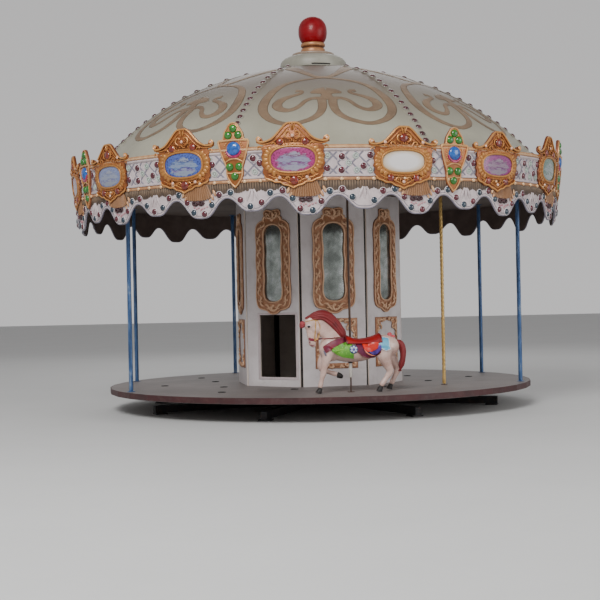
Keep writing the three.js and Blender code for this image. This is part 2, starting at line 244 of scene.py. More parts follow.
def copied(piece, name):
    """A copy with its own mesh."""
    copy = piece.copy()
    copy.data = piece.data.copy()
    bpy.context.collection.objects.link(copy)
    copy.name = copy.data.name = name
    return copy


def turned(piece, angle):
    piece.data.transform(rotation(angle, "Z"))
    return piece


def turned_copy(piece, name, angle):
    return turned(copied(piece, name), angle)


def shifted(piece, x=0.0, y=0.0, z=0.0):
    piece.data.transform(Matrix.Translation((x, y, z)))
    return piece


def standing(piece, place):
    """Takes a piece drawn on the Z axis to its distance and angle on the turntable."""
    radius, angle = place
    return turned(shifted(piece, y=-radius), angle)


def at(x, y, z, size=1.0, turn=0.0):
    """A place on the flat layout; the turn is about the direction that faces the viewer."""
    spin = rotation(turn, "Y")
    return Matrix.Translation((x, y, z)) @ spin @ Matrix.Scale(size, 4)


def coated(piece, *paints):
    piece.data.materials.clear()
    for paint in paints:
        piece.data.materials.append(PAINTS[paint])
    return piece


def grooved(piece, heights):
    """Keeps how far each point is out of the grooves, from 0 to 1, which the carved paints read to paint
    shade in the grooves and a highlight on what stands out.
    """
    relief = piece.data.attributes.new("relief", "FLOAT", "POINT")
    relief.data.foreach_set("value", [min(max(height, 0), 1) for height in heights])
    return piece


def marked(piece, deep, proud):
    """The same for a piece on a wall, from the depth of its grooves and of what stands out most."""
    return grooved(piece, [(deep - vertex.co.y) / (deep - proud) for vertex in piece.data.vertices])


def mapped(piece, width, height, middle):
    """Lays a flat map over an upright piece, centred on a height."""
    layer = piece.data.uv_layers.new(name="flat")
    for loop in piece.data.loops:
        place = piece.data.vertices[loop.vertex_index].co
        layer.data[loop.index].uv = (place.x / width + 0.5, (place.z - middle) / height + 0.5)
    return piece


def wall_radius(z):
    """The radius of the canopy's wall at a height."""
    for (low, inner), (high, outer) in zip(WALL_FACE, WALL_FACE[1:]):
        if z <= high:
            return inner + (outer - inner) * (max(z, low) - low) / (high - low)
    return WALL_FACE[-1][1]


def wrapped(piece, flat=FLAT_RADIUS):
    """Wraps a flat piece round the canopy: X becomes the angle and -Y points outwards."""
    for vertex in piece.data.vertices:
        x, y, z = vertex.co
        angle, radius = x / flat, wall_radius(z) - y
        vertex.co = (radius * sin(angle), -radius * cos(angle), z)
    return piece


def spaced(points, count):
    """The same line with points at even distances."""
    lengths = [0.0]
    for a, b in zip(points, points[1:]):
        lengths.append(lengths[-1] + dist(a, b))
    result, i = [], 0
    for n in range(count + 1):
        want = lengths[-1] * n / count
        while i < len(points) - 2 and lengths[i + 1] < want:
            i += 1
        share = (want - lengths[i]) / ((lengths[i + 1] - lengths[i]) or 1)
        result.append(tuple(p + (q - p) * share for p, q in zip(points[i], points[i + 1])))
    return result


# ---- materials
def blank(name, roughness, metallic=0.0, **sockets):
    paint = bpy.data.materials.new(name)
    paint.use_nodes = True
    shader = paint.node_tree.nodes["Principled BSDF"]
    shader.inputs["Roughness"].default_value = roughness
    shader.inputs["Metallic"].default_value = metallic
    for key, value in sockets.items():
        shader.inputs[key.replace("_", " ")].default_value = value
    return paint, paint.node_tree, shader


def node(tree, kind, **settings):
    """Adds a node; settings that are sockets are set by name or number, others are properties."""
    made = tree.nodes.new("ShaderNode" + kind)
    for key, value in settings.items():
        if key.startswith("in_"):
            socket = made.inputs[int(key[3:])] if key[3:].isdigit() else made.inputs[key[3:]]
            if isinstance(value, bpy.types.NodeSocket):
                tree.links.new(value, socket)
            else:
                socket.default_value = value
        else:
            setattr(made, key, value)
    return made


def place_of(tree, stretch=(1, 1, 1)):
    source = node(tree, "TexCoord").outputs["Object"]
    return node(tree, "Mapping", in_Vector=source, in_Scale=stretch).outputs[0]


def flat_place(tree, stretch=(1, 1, 1)):
    """The flat map that mapped() lays over a piece."""
    source = node(tree, "UVMap", uv_map="flat").outputs[0]
    return node(tree, "Mapping", in_Vector=source, in_Scale=stretch).outputs[0]


def noise(tree, place, scale, detail=4.0, roughness=0.6):
    settings = {"in_Scale": scale, "in_Detail": detail, "in_Roughness": roughness}
    return node(tree, "TexNoise", in_Vector=place, **settings).outputs["Fac"]


def ramp(tree, factor, stops):
    made = node(tree, "ValToRGB", in_Fac=factor)
    elements = made.color_ramp.elements
    while len(elements) < len(stops):
        elements.new(1.0)
    for element, (position, colour) in zip(elements, stops):
        element.position = position
        element.color = (*colour, 1)
    return made.outputs["Color"]


def patches(tree, factor, low, high, strength):
    """A mask that starts at one value of a noise and has its full strength from another."""
    return ramp(tree, factor, [(low, (0, 0, 0)), (high, (strength,) * 3)])


def mixed(tree, factor, first, second):
    made = node(tree, "Mix", data_type="RGBA")
    for socket, value in zip((0, 6, 7), (factor, first, second)):
        if isinstance(value, bpy.types.NodeSocket):
            tree.links.new(value, made.inputs[socket])
        else:
            made.inputs[socket].default_value = value if socket == 0 else (*value, 1)
    return made.outputs[2]


def coloured(tree, shader, colour):
    tree.links.new(colour, shader.inputs["Base Color"])


def roughened(tree, shader, factor, low, high):
    rough = node(tree, "MapRange", in_Value=factor, in_3=low, in_4=high)
    tree.links.new(rough.outputs[0], shader.inputs["Roughness"])


def bumped(tree, shader, height, distance, strength=0.6):
    bump = node(tree, "Bump", in_Height=height, in_Distance=distance, in_Strength=strength)
    tree.links.new(bump.outputs[0], shader.inputs["Normal"])


def aged(name, colour, shade, dirt, amount, scale, roughness, metallic=0.0, **sockets):
    """A painted or moulded surface: two tones of its colour, blotches of dirt and a fine grain."""
    paint, tree, shader = blank(name, roughness, metallic, **sockets)
    place = place_of(tree)
    tone = ramp(tree, noise(tree, place, scale), [(0.35, shade), (0.65, colour)])
    blotch = patches(tree, noise(tree, place, scale * 3.7, 8, 0.7), 0.5, 0.8, amount)
    coloured(tree, shader, mixed(tree, blotch, tone, dirt))
    fine = noise(tree, place, scale * 30, 3)
    roughened(tree, shader, fine, roughness - 0.08, roughness + 0.1)
    bumped(tree, shader, fine, 0.001)
    return paint


def carved(name, hollow_shade, middle, high, roughness=0.38, metallic=0.35):
    """Paint on raised ornament: painted shade in the hollows and a painted highlight on what stands out."""
    paint, tree, shader = blank(name, roughness, metallic)
    place = place_of(tree)
    relief = node(tree, "Attribute", attribute_name="relief").outputs["Fac"]
    cloud = noise(tree, place, 14, 5)
    lifted = node(tree, "Math", operation="MULTIPLY_ADD", in_0=cloud, in_1=0.7, in_2=relief)
    lowered = node(tree, "Math", operation="SUBTRACT", in_0=lifted.outputs[0], in_1=0.35)
    # Painted shade where the relief is low, painted highlight where it is high
    coloured(tree, shader, ramp(tree, lowered.outputs[0], [(0.12, hollow_shade), (0.5, middle), (0.88, high)]))
    bumped(tree, shader, noise(tree, place, 70, 3), 0.003)
    return paint


def jewel(name, colour, deep):
    """Moulded cabochon glass in two close tones."""
    gloss = {"Coat_Weight": 0.5, "Coat_Roughness": 0.08, "Specular_IOR_Level": 0.6}
    paint, tree, shader = blank(name, 0.16, **gloss)
    coloured(tree, shader, ramp(tree, noise(tree, place_of(tree), 22, 2), [(0.3, deep), (0.7, colour)]))
    return paint


def deck_paint():
    """Worn grey plate with scuffs and darker traffic marks."""
    paint, tree, shader = blank("deck_worn_plate", 0.55, 0.15)
    place = place_of(tree)
    tones = [(0.3, (0.148, 0.126, 0.12)), (0.7, (0.22, 0.19, 0.18))]
    base = ramp(tree, noise(tree, place, 1.3, 6), tones)
    drawn_out = noise(tree, place_of(tree, stretch=(3, 14, 1)), 2.2, 10, 0.75)
    worn = mixed(tree, patches(tree, drawn_out, 0.52, 0.7, 0.5), base, (0.13, 0.115, 0.11))
    spots = patches(tree, noise(tree, place, 17, 4), 0.66, 0.74, 0.6)
    coloured(tree, shader, mixed(tree, spots, worn, (0.12, 0.1, 0.09)))
    bumped(tree, shader, noise(tree, place, 120, 2), 0.002)
    return paint


def dome_paint():
    """Cream shell, dusty in patches, with faint dirt runs, and darker and browner from its foot to its crown
    as painted shade.
    """
    paint, tree, shader = blank("dome_cream", 0.42)
    place = place_of(tree)
    parts = node(tree, "SeparateXYZ", in_Vector=place)
    around = node(tree, "Math", operation="ARCTAN2", in_0=parts.outputs[0], in_1=parts.outputs[1])
    runs = node(tree, "CombineXYZ", in_X=around.outputs[0], in_Y=parts.outputs[2])
    stretched = node(tree, "Mapping", in_Vector=runs.outputs[0], in_Scale=(26, 1.1, 1))
    cream = [(0.3, (0.29, 0.275, 0.21)), (0.7, (0.385, 0.37, 0.29))]
    base = ramp(tree, noise(tree, place, 0.9, 5), cream)
    streak = patches(tree, noise(tree, stretched.outputs[0], 1.0, 6), 0.5, 0.8, 0.28)
    dusty = mixed(tree, streak, base, (0.25, 0.22, 0.17))
    specks = patches(tree, noise(tree, place, 9, 8, 0.7), 0.6, 0.78, 0.25)
    speckled = mixed(tree, specks, dusty, (0.3, 0.26, 0.2))
    # Painted shade: the shell darkens towards its crown, where less light falls
    foot, crown = 3.62, 4.42
    rise = node(tree, "MapRange", in_Value=parts.outputs[2], in_1=foot, in_2=crown, in_3=0.0, in_4=0.95)
    coloured(tree, shader, mixed(tree, rise.outputs[0], speckled, (0.13, 0.102, 0.08)))
    bumped(tree, shader, noise(tree, place, 3, 3), 0.006, 0.3)
    return paint


def from_middle(tree, place, middle):
    """How far a point of the flat map is from a middle."""
    centred = node(tree, "VectorMath", operation="SUBTRACT", in_0=place, in_1=(*middle, 0))
    return node(tree, "VectorMath", operation="LENGTH", in_0=centred.outputs[0]).outputs["Value"]


def picture(name, sky, hill, border, deep):
    """A small painted landscape: pale clouds over hills, inside a wide mottled border."""
    paint, tree, shader = blank(name, 0.25, Coat_Weight=0.4, Coat_Roughness=0.1)
    place = flat_place(tree)
    height = node(tree, "SeparateXYZ", in_Vector=place).outputs[1]
    clouds = noise(tree, flat_place(tree, (1, 2.2, 1)), 4.5, 6, 0.7)
    rise = node(tree, "Math", operation="MULTIPLY_ADD", in_0=clouds, in_1=0.9, in_2=height)
    low = node(tree, "Math", operation="SUBTRACT", in_0=rise.outputs[0], in_1=0.45)
    mist = tuple(0.5 * tone + 0.15 for tone in sky)
    stops = [
        (0.24, mist), (0.3, hill), (0.35, deep), (0.4, sky), (0.5, mist), (0.58, sky), (0.64, deep),
        (0.7, mist),
    ]
    scene = ramp(tree, low.outputs[0], stops)
    reach = from_middle(tree, place, (0.5, 0.41))
    edge = noise(tree, place, 8, 3)
    frayed = node(tree, "Math", operation="MULTIPLY_ADD", in_0=edge, in_1=0.3, in_2=reach)
    rim = patches(tree, frayed.outputs[0], 0.5, 0.54, 1)
    petals = ramp(tree, noise(tree, flat_place(tree, (1.9, 1, 1)), 11, 3), [(0.36, deep), (0.52, border)])
    coloured(tree, shader, mixed(tree, rim, scene, petals))
    return paint


def blank_board():
    """Bare white board, painted gold-brown towards its edge as a painted reflection of the gilding round it.
    """
    paint, tree, shader = blank("picture_blank", 0.35)
    reach = from_middle(tree, flat_place(tree), (0.5, 0.5))
    coloured(tree, shader, ramp(tree, reach, [(0.32, (0.66, 0.63, 0.62)), (0.5, (0.5, 0.39, 0.26))]))
    return paint


def mirror_paint():
    """Old mirror glass: grey-green, a little cloudy."""
    paint, tree, shader = blank("mirror_glass", 0.12, 0.85)
    place = place_of(tree)
    tones = [(0.34, (0.17, 0.19, 0.175)), (0.5, (0.28, 0.31, 0.29)), (0.66, (0.46, 0.48, 0.48))]
    coloured(tree, shader, ramp(tree, noise(tree, place, 5, 6, 0.7), tones))
    roughened(tree, shader, noise(tree, place, 7, 6), 0.08, 0.35)
    return paint


def film_paint():
    """Steel tube in loose blue protective film, bright where the film has creased."""
    paint, tree, shader = blank("blue_film", 0.3, 0.3)
    crease = noise(tree, place_of(tree, stretch=(8, 8, 1.2)), 3.2, 8, 0.7)
    blues = [(0.35, (0.018, 0.045, 0.12)), (0.55, (0.05, 0.115, 0.26)), (0.72, (0.26, 0.32, 0.4))]
    coloured(tree, shader, ramp(tree, crease, blues))
    bumped(tree, shader, crease, 0.01, 0.8)
    return paint


# A name, two tones of the colour, the dirt's colour and amount, the patches' scale, roughness and metal
AGED = {
    "dark_steel": ("dark_steel", (0.03, 0.03, 0.034), (0.018, 0.018, 0.02), (0.13, 0.07, 0.04), 0.7, 5, 0.6,
                   0.5),
    "rim": ("rim_maroon", (0.052, 0.0095, 0.0105), (0.032, 0.0065, 0.0075), (0.12, 0.08, 0.07), 0.45, 4,
            0.55),
    "panel": ("panel_white", (0.68, 0.63, 0.63), (0.57, 0.52, 0.52), (0.33, 0.27, 0.24), 0.4, 1.6, 0.4),
    "black": ("black_paint", (0.012, 0.01, 0.011), (0.02, 0.016, 0.016), (0.06, 0.045, 0.04), 0.5, 4, 0.5,
              0.2),
    "ceiling": ("ceiling_brown", (0.12, 0.087, 0.072), (0.08, 0.058, 0.048), (0.03, 0.02, 0.016), 0.5, 1.5,
                0.8),
    "valance": ("valance_brown", (0.13, 0.093, 0.08), (0.09, 0.064, 0.055), (0.12, 0.09, 0.075), 0.4, 6,
                0.75),
    "wall": ("moulding_white", (0.575, 0.49, 0.495), (0.47, 0.395, 0.4), (0.3, 0.23, 0.21), 0.4, 5, 0.4),
    "slat": ("lattice_lilac", (0.22, 0.205, 0.25), (0.16, 0.145, 0.18), (0.15, 0.13, 0.14), 0.5, 9, 0.4),
    "rosette": ("rosette_green", (0.48, 0.55, 0.49), (0.36, 0.43, 0.37), (0.28, 0.3, 0.26), 0.5, 20, 0.4),
    "inside": ("drum_inside", (0.78, 0.68, 0.6), (0.66, 0.56, 0.49), (0.4, 0.32, 0.26), 0.4, 2, 0.8),
    "bow": ("bow_wine", (0.06, 0.015, 0.02), (0.03, 0.01, 0.012), (0.15, 0.08, 0.07), 0.3, 12, 0.4),
    "bud": ("bud_pink", (0.6, 0.3, 0.32), (0.42, 0.16, 0.2), (0.7, 0.55, 0.5), 0.4, 20, 0.4),
    "collar": ("collar_white", (0.72, 0.66, 0.66), (0.6, 0.54, 0.55), (0.4, 0.3, 0.3), 0.3, 20, 0.3),
    "scroll": ("scroll_tan", (0.21, 0.137, 0.083), (0.15, 0.098, 0.06), (0.3, 0.24, 0.16), 0.5, 2.5, 0.5),
    "cap": ("cap_white", (0.31, 0.3, 0.25), (0.25, 0.24, 0.195), (0.2, 0.17, 0.14), 0.5, 2.5, 0.45),
    "tier": ("cap_tier_tan", (0.28, 0.2, 0.145), (0.21, 0.15, 0.11), (0.18, 0.14, 0.11), 0.4, 5, 0.4),
    "rod": ("rod_dark", (0.09, 0.055, 0.04), (0.05, 0.03, 0.024), (0.2, 0.12, 0.08), 0.4, 8, 0.35, 0.6),
    "tube": ("tube_white", (0.55, 0.52, 0.47), (0.42, 0.38, 0.34), (0.22, 0.17, 0.13), 0.6, 12, 0.35, 0.2),
    "horse_white": ("horse_white", (0.65, 0.475, 0.415), (0.48, 0.31, 0.26), (0.4, 0.21, 0.16), 0.5, 5,
                    0.26),
    "saddle": ("saddle_red", (0.32, 0.01, 0.01), (0.2, 0.008, 0.01), (0.12, 0.02, 0.02), 0.5, 9, 0.35),
    "saddle_dark": ("saddle_maroon", (0.17, 0.01, 0.014), (0.1, 0.006, 0.01), (0.25, 0.12, 0.1), 0.4, 12,
                    0.3),
    "plum": ("strap_plum", (0.2, 0.012, 0.028), (0.12, 0.01, 0.036), (0.22, 0.07, 0.08), 0.3, 12, 0.5),
    "plum_dark": ("flap_plum", (0.15, 0.01, 0.045), (0.1, 0.008, 0.04), (0.25, 0.1, 0.12), 0.4, 12, 0.3),
    "violet_blue": ("patch_violet", (0.1, 0.06, 0.36), (0.07, 0.03, 0.24), (0.3, 0.16, 0.4), 0.4, 14, 0.3),
    "navy_enamel": ("flower_navy", (0.03, 0.05, 0.2), (0.02, 0.02, 0.12), (0.2, 0.25, 0.45), 0.4, 14, 0.25),
    "petal_white": ("petal_white", (0.62, 0.7, 0.78), (0.45, 0.55, 0.7), (0.3, 0.35, 0.5), 0.3, 20, 0.3),
    "plume": ("plume_rose", (0.36, 0.05, 0.058), (0.24, 0.026, 0.034), (0.14, 0.02, 0.025), 0.4, 12, 0.4),
    "hoof": ("hoof_black", (0.009, 0.006, 0.006), (0.014, 0.01, 0.009), (0.035, 0.024, 0.02), 0.3, 9, 0.6),
    "scarlet": ("panel_scarlet", (0.68, 0.03, 0.012), (0.5, 0.014, 0.01), (0.3, 0.02, 0.02), 0.4, 10, 0.22),
    "salmon": ("scroll_salmon", (0.8, 0.26, 0.16), (0.66, 0.16, 0.1), (0.6, 0.4, 0.3), 0.3, 20, 0.3),
    "leaf_green": ("leaf_green", (0.16, 0.42, 0.045), (0.09, 0.28, 0.03), (0.05, 0.14, 0.02), 0.5, 9, 0.3),
    "leaf_light": ("leaf_lime", (0.34, 0.62, 0.1), (0.22, 0.5, 0.07), (0.12, 0.25, 0.04), 0.4, 14, 0.3),
    "cyan": ("cloth_cyan", (0.13, 0.43, 0.6), (0.075, 0.32, 0.48), (0.42, 0.58, 0.66), 0.4, 10, 0.35),
    "rose": ("rose_pink", (0.6, 0.1, 0.11), (0.42, 0.04, 0.06), (0.7, 0.36, 0.34), 0.4, 24, 0.35),
    "slate_cloth": ("tassel_slate", (0.16, 0.15, 0.2), (0.09, 0.08, 0.12), (0.3, 0.26, 0.3), 0.4, 20, 0.6),
    "trim_gold": ("trim_gold", (0.62, 0.36, 0.12), (0.45, 0.24, 0.07), (0.25, 0.12, 0.04), 0.4, 20, 0.35,
                  0.3),
    "pole_gold": ("pole_gold", (0.62, 0.42, 0.16), (0.45, 0.28, 0.09), (0.2, 0.12, 0.05), 0.5, 14, 0.3,
                  0.7),
    "floor": ("floor_pale", (0.62, 0.62, 0.61), (0.6, 0.6, 0.59), (0.55, 0.55, 0.54), 0.3, 0.4, 0.7),
}
# A name, the tones of the hollows (painted shade), the middle and the high parts (painted highlight),
# roughness and metal
CARVED = {
    "gold": ("frame_orange", (0.155, 0.042, 0.015), (0.4, 0.135, 0.031), (0.58, 0.28, 0.085)),
    "leaf": ("frame_ochre", (0.18, 0.052, 0.014), (0.31, 0.108, 0.026), (0.43, 0.195, 0.05)),
    "copper": ("plaque_copper", (0.2, 0.06, 0.028), (0.48, 0.19, 0.07), (0.66, 0.38, 0.16)),
    "edging": ("edging_gold", (0.2, 0.08, 0.04), (0.46, 0.22, 0.1), (0.76, 0.5, 0.28)),
    "pleat": ("pleats_amber", (0.038, 0.014, 0.006), (0.14, 0.058, 0.022), (0.26, 0.125, 0.054), 0.5, 0.0),
    "swag": ("swag_brown", (0.045, 0.028, 0.019), (0.12, 0.077, 0.048), (0.215, 0.145, 0.09), 0.6, 0.0),
    "old_gold": ("drum_gold", (0.2, 0.085, 0.048), (0.43, 0.205, 0.105), (0.64, 0.4, 0.25), 0.42, 0.2),
    "neck": ("neck_gold", (0.11, 0.04, 0.016), (0.24, 0.088, 0.034), (0.36, 0.165, 0.07), 0.4, 0.35),
    "mane": ("mane_maroon", (0.026, 0.002, 0.005), (0.09, 0.005, 0.008), (0.175, 0.011, 0.013), 0.55, 0.0),
}
JEWELS = {
    "garnet": ("jewel_garnet", (0.23, 0.026, 0.012), (0.09, 0.009, 0.005)),
    "wine": ("jewel_wine", (0.115, 0.008, 0.02), (0.04, 0.004, 0.009)),
    "slate": ("jewel_slate", (0.019, 0.042, 0.066), (0.006, 0.016, 0.027)),
    "green": ("jewel_green", (0.03, 0.21, 0.016), (0.008, 0.085, 0.008)),
    "blue": ("jewel_blue", (0.012, 0.13, 0.48), (0.006, 0.045, 0.24)),
    "crimson": ("jewel_crimson", (0.45, 0.01, 0.1), (0.2, 0.005, 0.04)),
    "pearl": ("jewel_pearl", (0.74, 0.46, 0.32), (0.58, 0.3, 0.2)),
    "bulb": ("bulb_wine", (0.085, 0.018, 0.022), (0.035, 0.008, 0.01)),
}
PAINTS = {
    "deck": deck_paint(),
    "dome": dome_paint(),
    "ball": aged("ball_red", (0.23, 0.0015, 0.006), (0.16, 0.001, 0.004), (0.5, 0.2, 0.18), 0.12, 3, 0.34,
                 Coat_Weight=0.1, Specular_IOR_Level=0.2),
    "film": film_paint(),
    "mirror": mirror_paint(),
    **{key: aged(*values) for key, values in AGED.items()},
    **{key: carved(*values) for key, values in CARVED.items()},
    **{key: jewel(*values) for key, values in JEWELS.items()},
    "picture_blank": blank_board(),
}
# Sky, hills, border and deep tone
PICTURES = {
    "picture_blue": ((0.13, 0.2, 0.36), (0.16, 0.12, 0.3), (0.06, 0.105, 0.36), (0.02, 0.026, 0.14)),
    "picture_magenta": ((0.2, 0.19, 0.32), (0.19, 0.12, 0.26), (0.33, 0.035, 0.16), (0.13, 0.009, 0.055)),
    "picture_violet": ((0.22, 0.11, 0.2), (0.2, 0.12, 0.22), (0.27, 0.05, 0.19), (0.11, 0.022, 0.1)),
    "picture_green": ((0.18, 0.25, 0.25), (0.1, 0.17, 0.11), (0.1, 0.19, 0.15), (0.04, 0.1, 0.07)),
    "picture_pale": ((0.2, 0.24, 0.36), (0.18, 0.18, 0.3), (0.18, 0.22, 0.38), (0.1, 0.12, 0.26)),
}
PAINTS.update({name: picture(name, *tones) for name, tones in PICTURES.items()})


# ---- small ornaments
def cut(piece, place, normal, **cleared):
    opened(piece)
    bpy.ops.mesh.bisect(plane_co=place, plane_no=normal, **cleared)
    closed()


def hoop(name, paint, radius, thickness, segments):
    """A moulded ring that faces -Y."""
    deselected()
    bpy.ops.mesh.primitive_torus_add(major_radius=radius, minor_radius=thickness, major_segments=segments,
                                     minor_segments=5, rotation=(pi / 2, 0, 0))
    return coated(settled(name), paint)


def cabochon(name, paint, radius, collar, swell=0.72):
    """A half-round glass jewel that faces -Y, with or without its moulded collar."""
    deselected()
    bpy.ops.mesh.primitive_uv_sphere_add(segments=14, ring_count=10, radius=radius)
    stone = named(name)
    cut(stone, (0, 0, 0), (0, 0, 1), clear_inner=True)
    stone.data.transform(rotation(90, "X") @ Matrix.Diagonal((1, 1, swell, 1)))
    coated(stone, paint)
    if not collar:
        return stone
    return joined(name, [stone, hoop(name + "_collar", "collar", radius * 1.04, radius * 0.14, 14)])


def bead(name, paint, size, segments=8, rings=6):
    deselected()
    bpy.ops.mesh.primitive_uv_sphere_add(segments=segments, ring_count=rings, radius=1, scale=size)
    return coated(settled(name), paint)


def bulged(x, z, power):
    """Pushes a point of the unit disc outwards where the disc's full oval becomes a squarer one."""
    reach = hypot(x, z) or 1
    across, up = x / reach, z / reach
    return (copysign(abs(across) ** power, across) * reach, copysign(abs(up) ** power, up) * reach)


def on_oval(half_wide, half_high, z, count, start=0.0, power=1.0):
    """Places and outward turns along an oval; a power under 1 makes it squarer."""
    for n in range(count):
        t = 2 * pi * (n + start) / count
        across, rise = bulged(sin(t), cos(t), power)
        steep = 2 / power - 1
        out = copysign(abs(across) ** steep, across) / half_wide
        over = copysign(abs(rise) ** steep, rise) / half_high
        yield half_wide * across, z + half_high * rise, degrees(atan2(out, over))


def both_sides(points):
    return points, [(-point[0], *point[1:]) for point in points]


def level(y, points):
    """Gives points of (x, z, radius) a common depth."""
    return [(x, y, z, radius) for x, z, radius in points]


# ---- canopy boards
OVALS = ((0.268, 0.128, 3.165), (0.264, 0.145, 3.203))  # half width, half height and middle, per kind
OVAL_POWER = 0.8
FRAME_OUT = 0.014  # how far a frame's layout stands off the wall
LOW_HEIGHTS, TALL_HEIGHTS = (2.825, 3.0, 3.165, 3.34, 3.594), (2.85, 3.02, 3.205, 3.385, 3.652)
FRAME_HALF = (
    (0, 3.594), (0.062, 3.59), (0.102, 3.566), (0.144, 3.522), (0.19, 3.472), (0.24, 3.424), (0.3, 3.39),
    (0.355, 3.388), (0.37, 3.42), (0.405, 3.43), (0.437, 3.405), (0.437, 3.366), (0.4, 3.346),
    (0.352, 3.335), (0.376, 3.29), (0.362, 3.25), (0.384, 3.205), (0.366, 3.165), (0.384, 3.12),
    (0.362, 3.08), (0.372, 3.03), (0.342, 2.997), (0.33, 2.955), (0.275, 2.937), (0.23, 2.902),
    (0.165, 2.905), (0.12, 2.872), (0.06, 2.862), (0, 2.825),
)
PLAQUE_HALF = (
    (0, 3.6), (0.045, 3.588), (0.085, 3.53), (0.122, 3.47), (0.132, 3.42), (0.14, 3.392), (0.186, 3.384),
    (0.196, 3.36), (0.188, 3.3), (0.15, 3.17), (0.112, 3.05), (0.115, 2.98), (0.1, 2.92), (0.05, 2.85),
    (0, 2.8),
)


def closed_outline(half):
    return [*half, *[(-x, z) for x, z in reversed(half) if x > 0]]


def fitted(points, kind):
    """Takes heights drawn for the low frame to the tall one; a point is (x, z) or (x, y, z, ...)."""
    if not kind:
        return list(points)
    result = []
    for point in points:
        up = 1 if len(point) == 2 else 2
        i = sum(point[up] > height for height in LOW_HEIGHTS[1:-1])
        share = (point[up] - LOW_HEIGHTS[i]) / (LOW_HEIGHTS[i + 1] - LOW_HEIGHTS[i])
        z = TALL_HEIGHTS[i] + share * (TALL_HEIGHTS[i + 1] - TALL_HEIGHTS[i])
        result.append((*point[:up], z, *point[up + 1:]))
    return result


def oval_line(kind, wider, higher, count, power=OVAL_POWER):
    """Points (x, z) of a line round a frame's opening, at a distance from its edge."""
    wide, high, z = OVALS[kind]
    return [(x, up) for x, up, _ in on_oval(wide + wider, high + higher, z, count, 0, power)]


def frame_base(kind):
    """The moulded back of a picture frame, with its oval opening."""
    outlines = [closed_outline(fitted(FRAME_HALF, kind)), oval_line(kind, 0, 0, 40)]
    return plate("frame_base", outlines, 0.012, -0.014, 0.006)


# Right halves, lines of (x, y, z, radius): the crest's edges and curls, the foot's scrolls
FRAME_SCROLLS = (
    [(0, -0.02, 3.578, 0.012), (0.055, -0.02, 3.576, 0.012), (0.094, -0.02, 3.553, 0.012),
     (0.138, -0.02, 3.51, 0.012), (0.184, -0.021, 3.462, 0.012), (0.235, -0.022, 3.414, 0.012),
     (0.3, -0.023, 3.382, 0.011), (0.37, -0.024, 3.37, 0.011), (0.422, -0.026, 3.386, 0.011),
     (0.424, -0.028, 3.416, 0.01), (0.398, -0.029, 3.424, 0.009), (0.384, -0.03, 3.404, 0.008),
     (0.4, -0.032, 3.394, 0.006)],
    level(-0.018, [(0.03, 3.536, 0.006), (0.07, 3.516, 0.007), (0.11, 3.474, 0.007), (0.16, 3.425, 0.007),
                   (0.21, 3.383, 0.007), (0.28, 3.352, 0.007), (0.36, 3.345, 0.007), (0.42, 3.36, 0.006)]),
    [(0.05, -0.018, 3.395, 0.005), (0.084, -0.02, 3.425, 0.009), (0.08, -0.02, 3.466, 0.01),
     (0.045, -0.02, 3.484, 0.008), (0.03, -0.02, 3.465, 0.006)],
    [(0.1, -0.018, 3.35, 0.005), (0.13, -0.02, 3.392, 0.009), (0.165, -0.02, 3.385, 0.008),
     (0.16, -0.02, 3.356, 0.006)],
    [(0.2, -0.018, 3.33, 0.005), (0.225, -0.02, 3.358, 0.008), (0.255, -0.02, 3.344, 0.006)],
    [(0.014, -0.018, 3.5, 0.005), (0.02, -0.02, 3.54, 0.009), (0.034, -0.018, 3.572, 0.007)],
    [(0.0, -0.018, 3.5, 0.006), (0.0, -0.02, 3.54, 0.01), (0.0, -0.018, 3.582, 0.008)],
    [(0.35, -0.018, 3.0, 0.008), (0.325, -0.02, 2.963, 0.011), (0.27, -0.02, 2.944, 0.011),
     (0.215, -0.021, 2.918, 0.01), (0.16, -0.021, 2.915, 0.01), (0.11, -0.022, 2.884, 0.01),
     (0.055, -0.022, 2.87, 0.01), (0, -0.022, 2.842, 0.01)],
    [(0.3, -0.018, 3.005, 0.006), (0.22, -0.018, 2.97, 0.008), (0.13, -0.019, 2.947, 0.008),
     (0.05, -0.02, 2.908, 0.007), (0, -0.02, 2.885, 0.007)],
    [(0.11, -0.018, 2.932, 0.005), (0.078, -0.02, 2.972, 0.009), (0.042, -0.02, 2.96, 0.007),
     (0.048, -0.02, 2.935, 0.005)],
    [(0.372, -0.016, 3.3, 0.005), (0.398, -0.017, 3.325, 0.009), (0.42, -0.018, 3.3, 0.007)],
)


def frame_scrolls(kind):
    lines = [fitted(line, kind) for half in FRAME_SCROLLS for line in both_sides(half)]
    return rods("frame_scrolls", lines, 6, 4)


def frame_beads(kind):
    """A fine bead row round the opening and a grainy ground of beads in the crest and the foot."""
    wide, high, z = OVALS[kind]
    row = [at(x, -0.017, up, 0.9) for x, up in oval_line(kind, 0.036, 0.034, 60)]
    rng = random.Random(5)

    def grain(half, low, top, inside):
        x, up = rng.uniform(-half, half), rng.uniform(low, top)
        if inside(x, up):
            row.append(at(*fitted([(x, -0.014, up)], kind)[0], rng.uniform(0.7, 1.2)))

    for _ in range(170):
        grain(0.21, 3.31, 3.54, lambda x, up: up < 3.56 - 0.95 * abs(x))
        grain(0.28, 2.875, 3.03, lambda x, up: up > 2.872 + 0.36 * abs(x))

    def outside_the_ring(place):
        x, _, up = place.translation
        return hypot(x / (wide + 0.035), (up - z) / (high + 0.033)) > 1

    seed = bead("frame_bead", "gold", (0.0085, 0.0085, 0.0085))
    beads = repeated("frame_beads", seed, [place for place in row if outside_the_ring(place)])
    discarded(seed)
    return beads


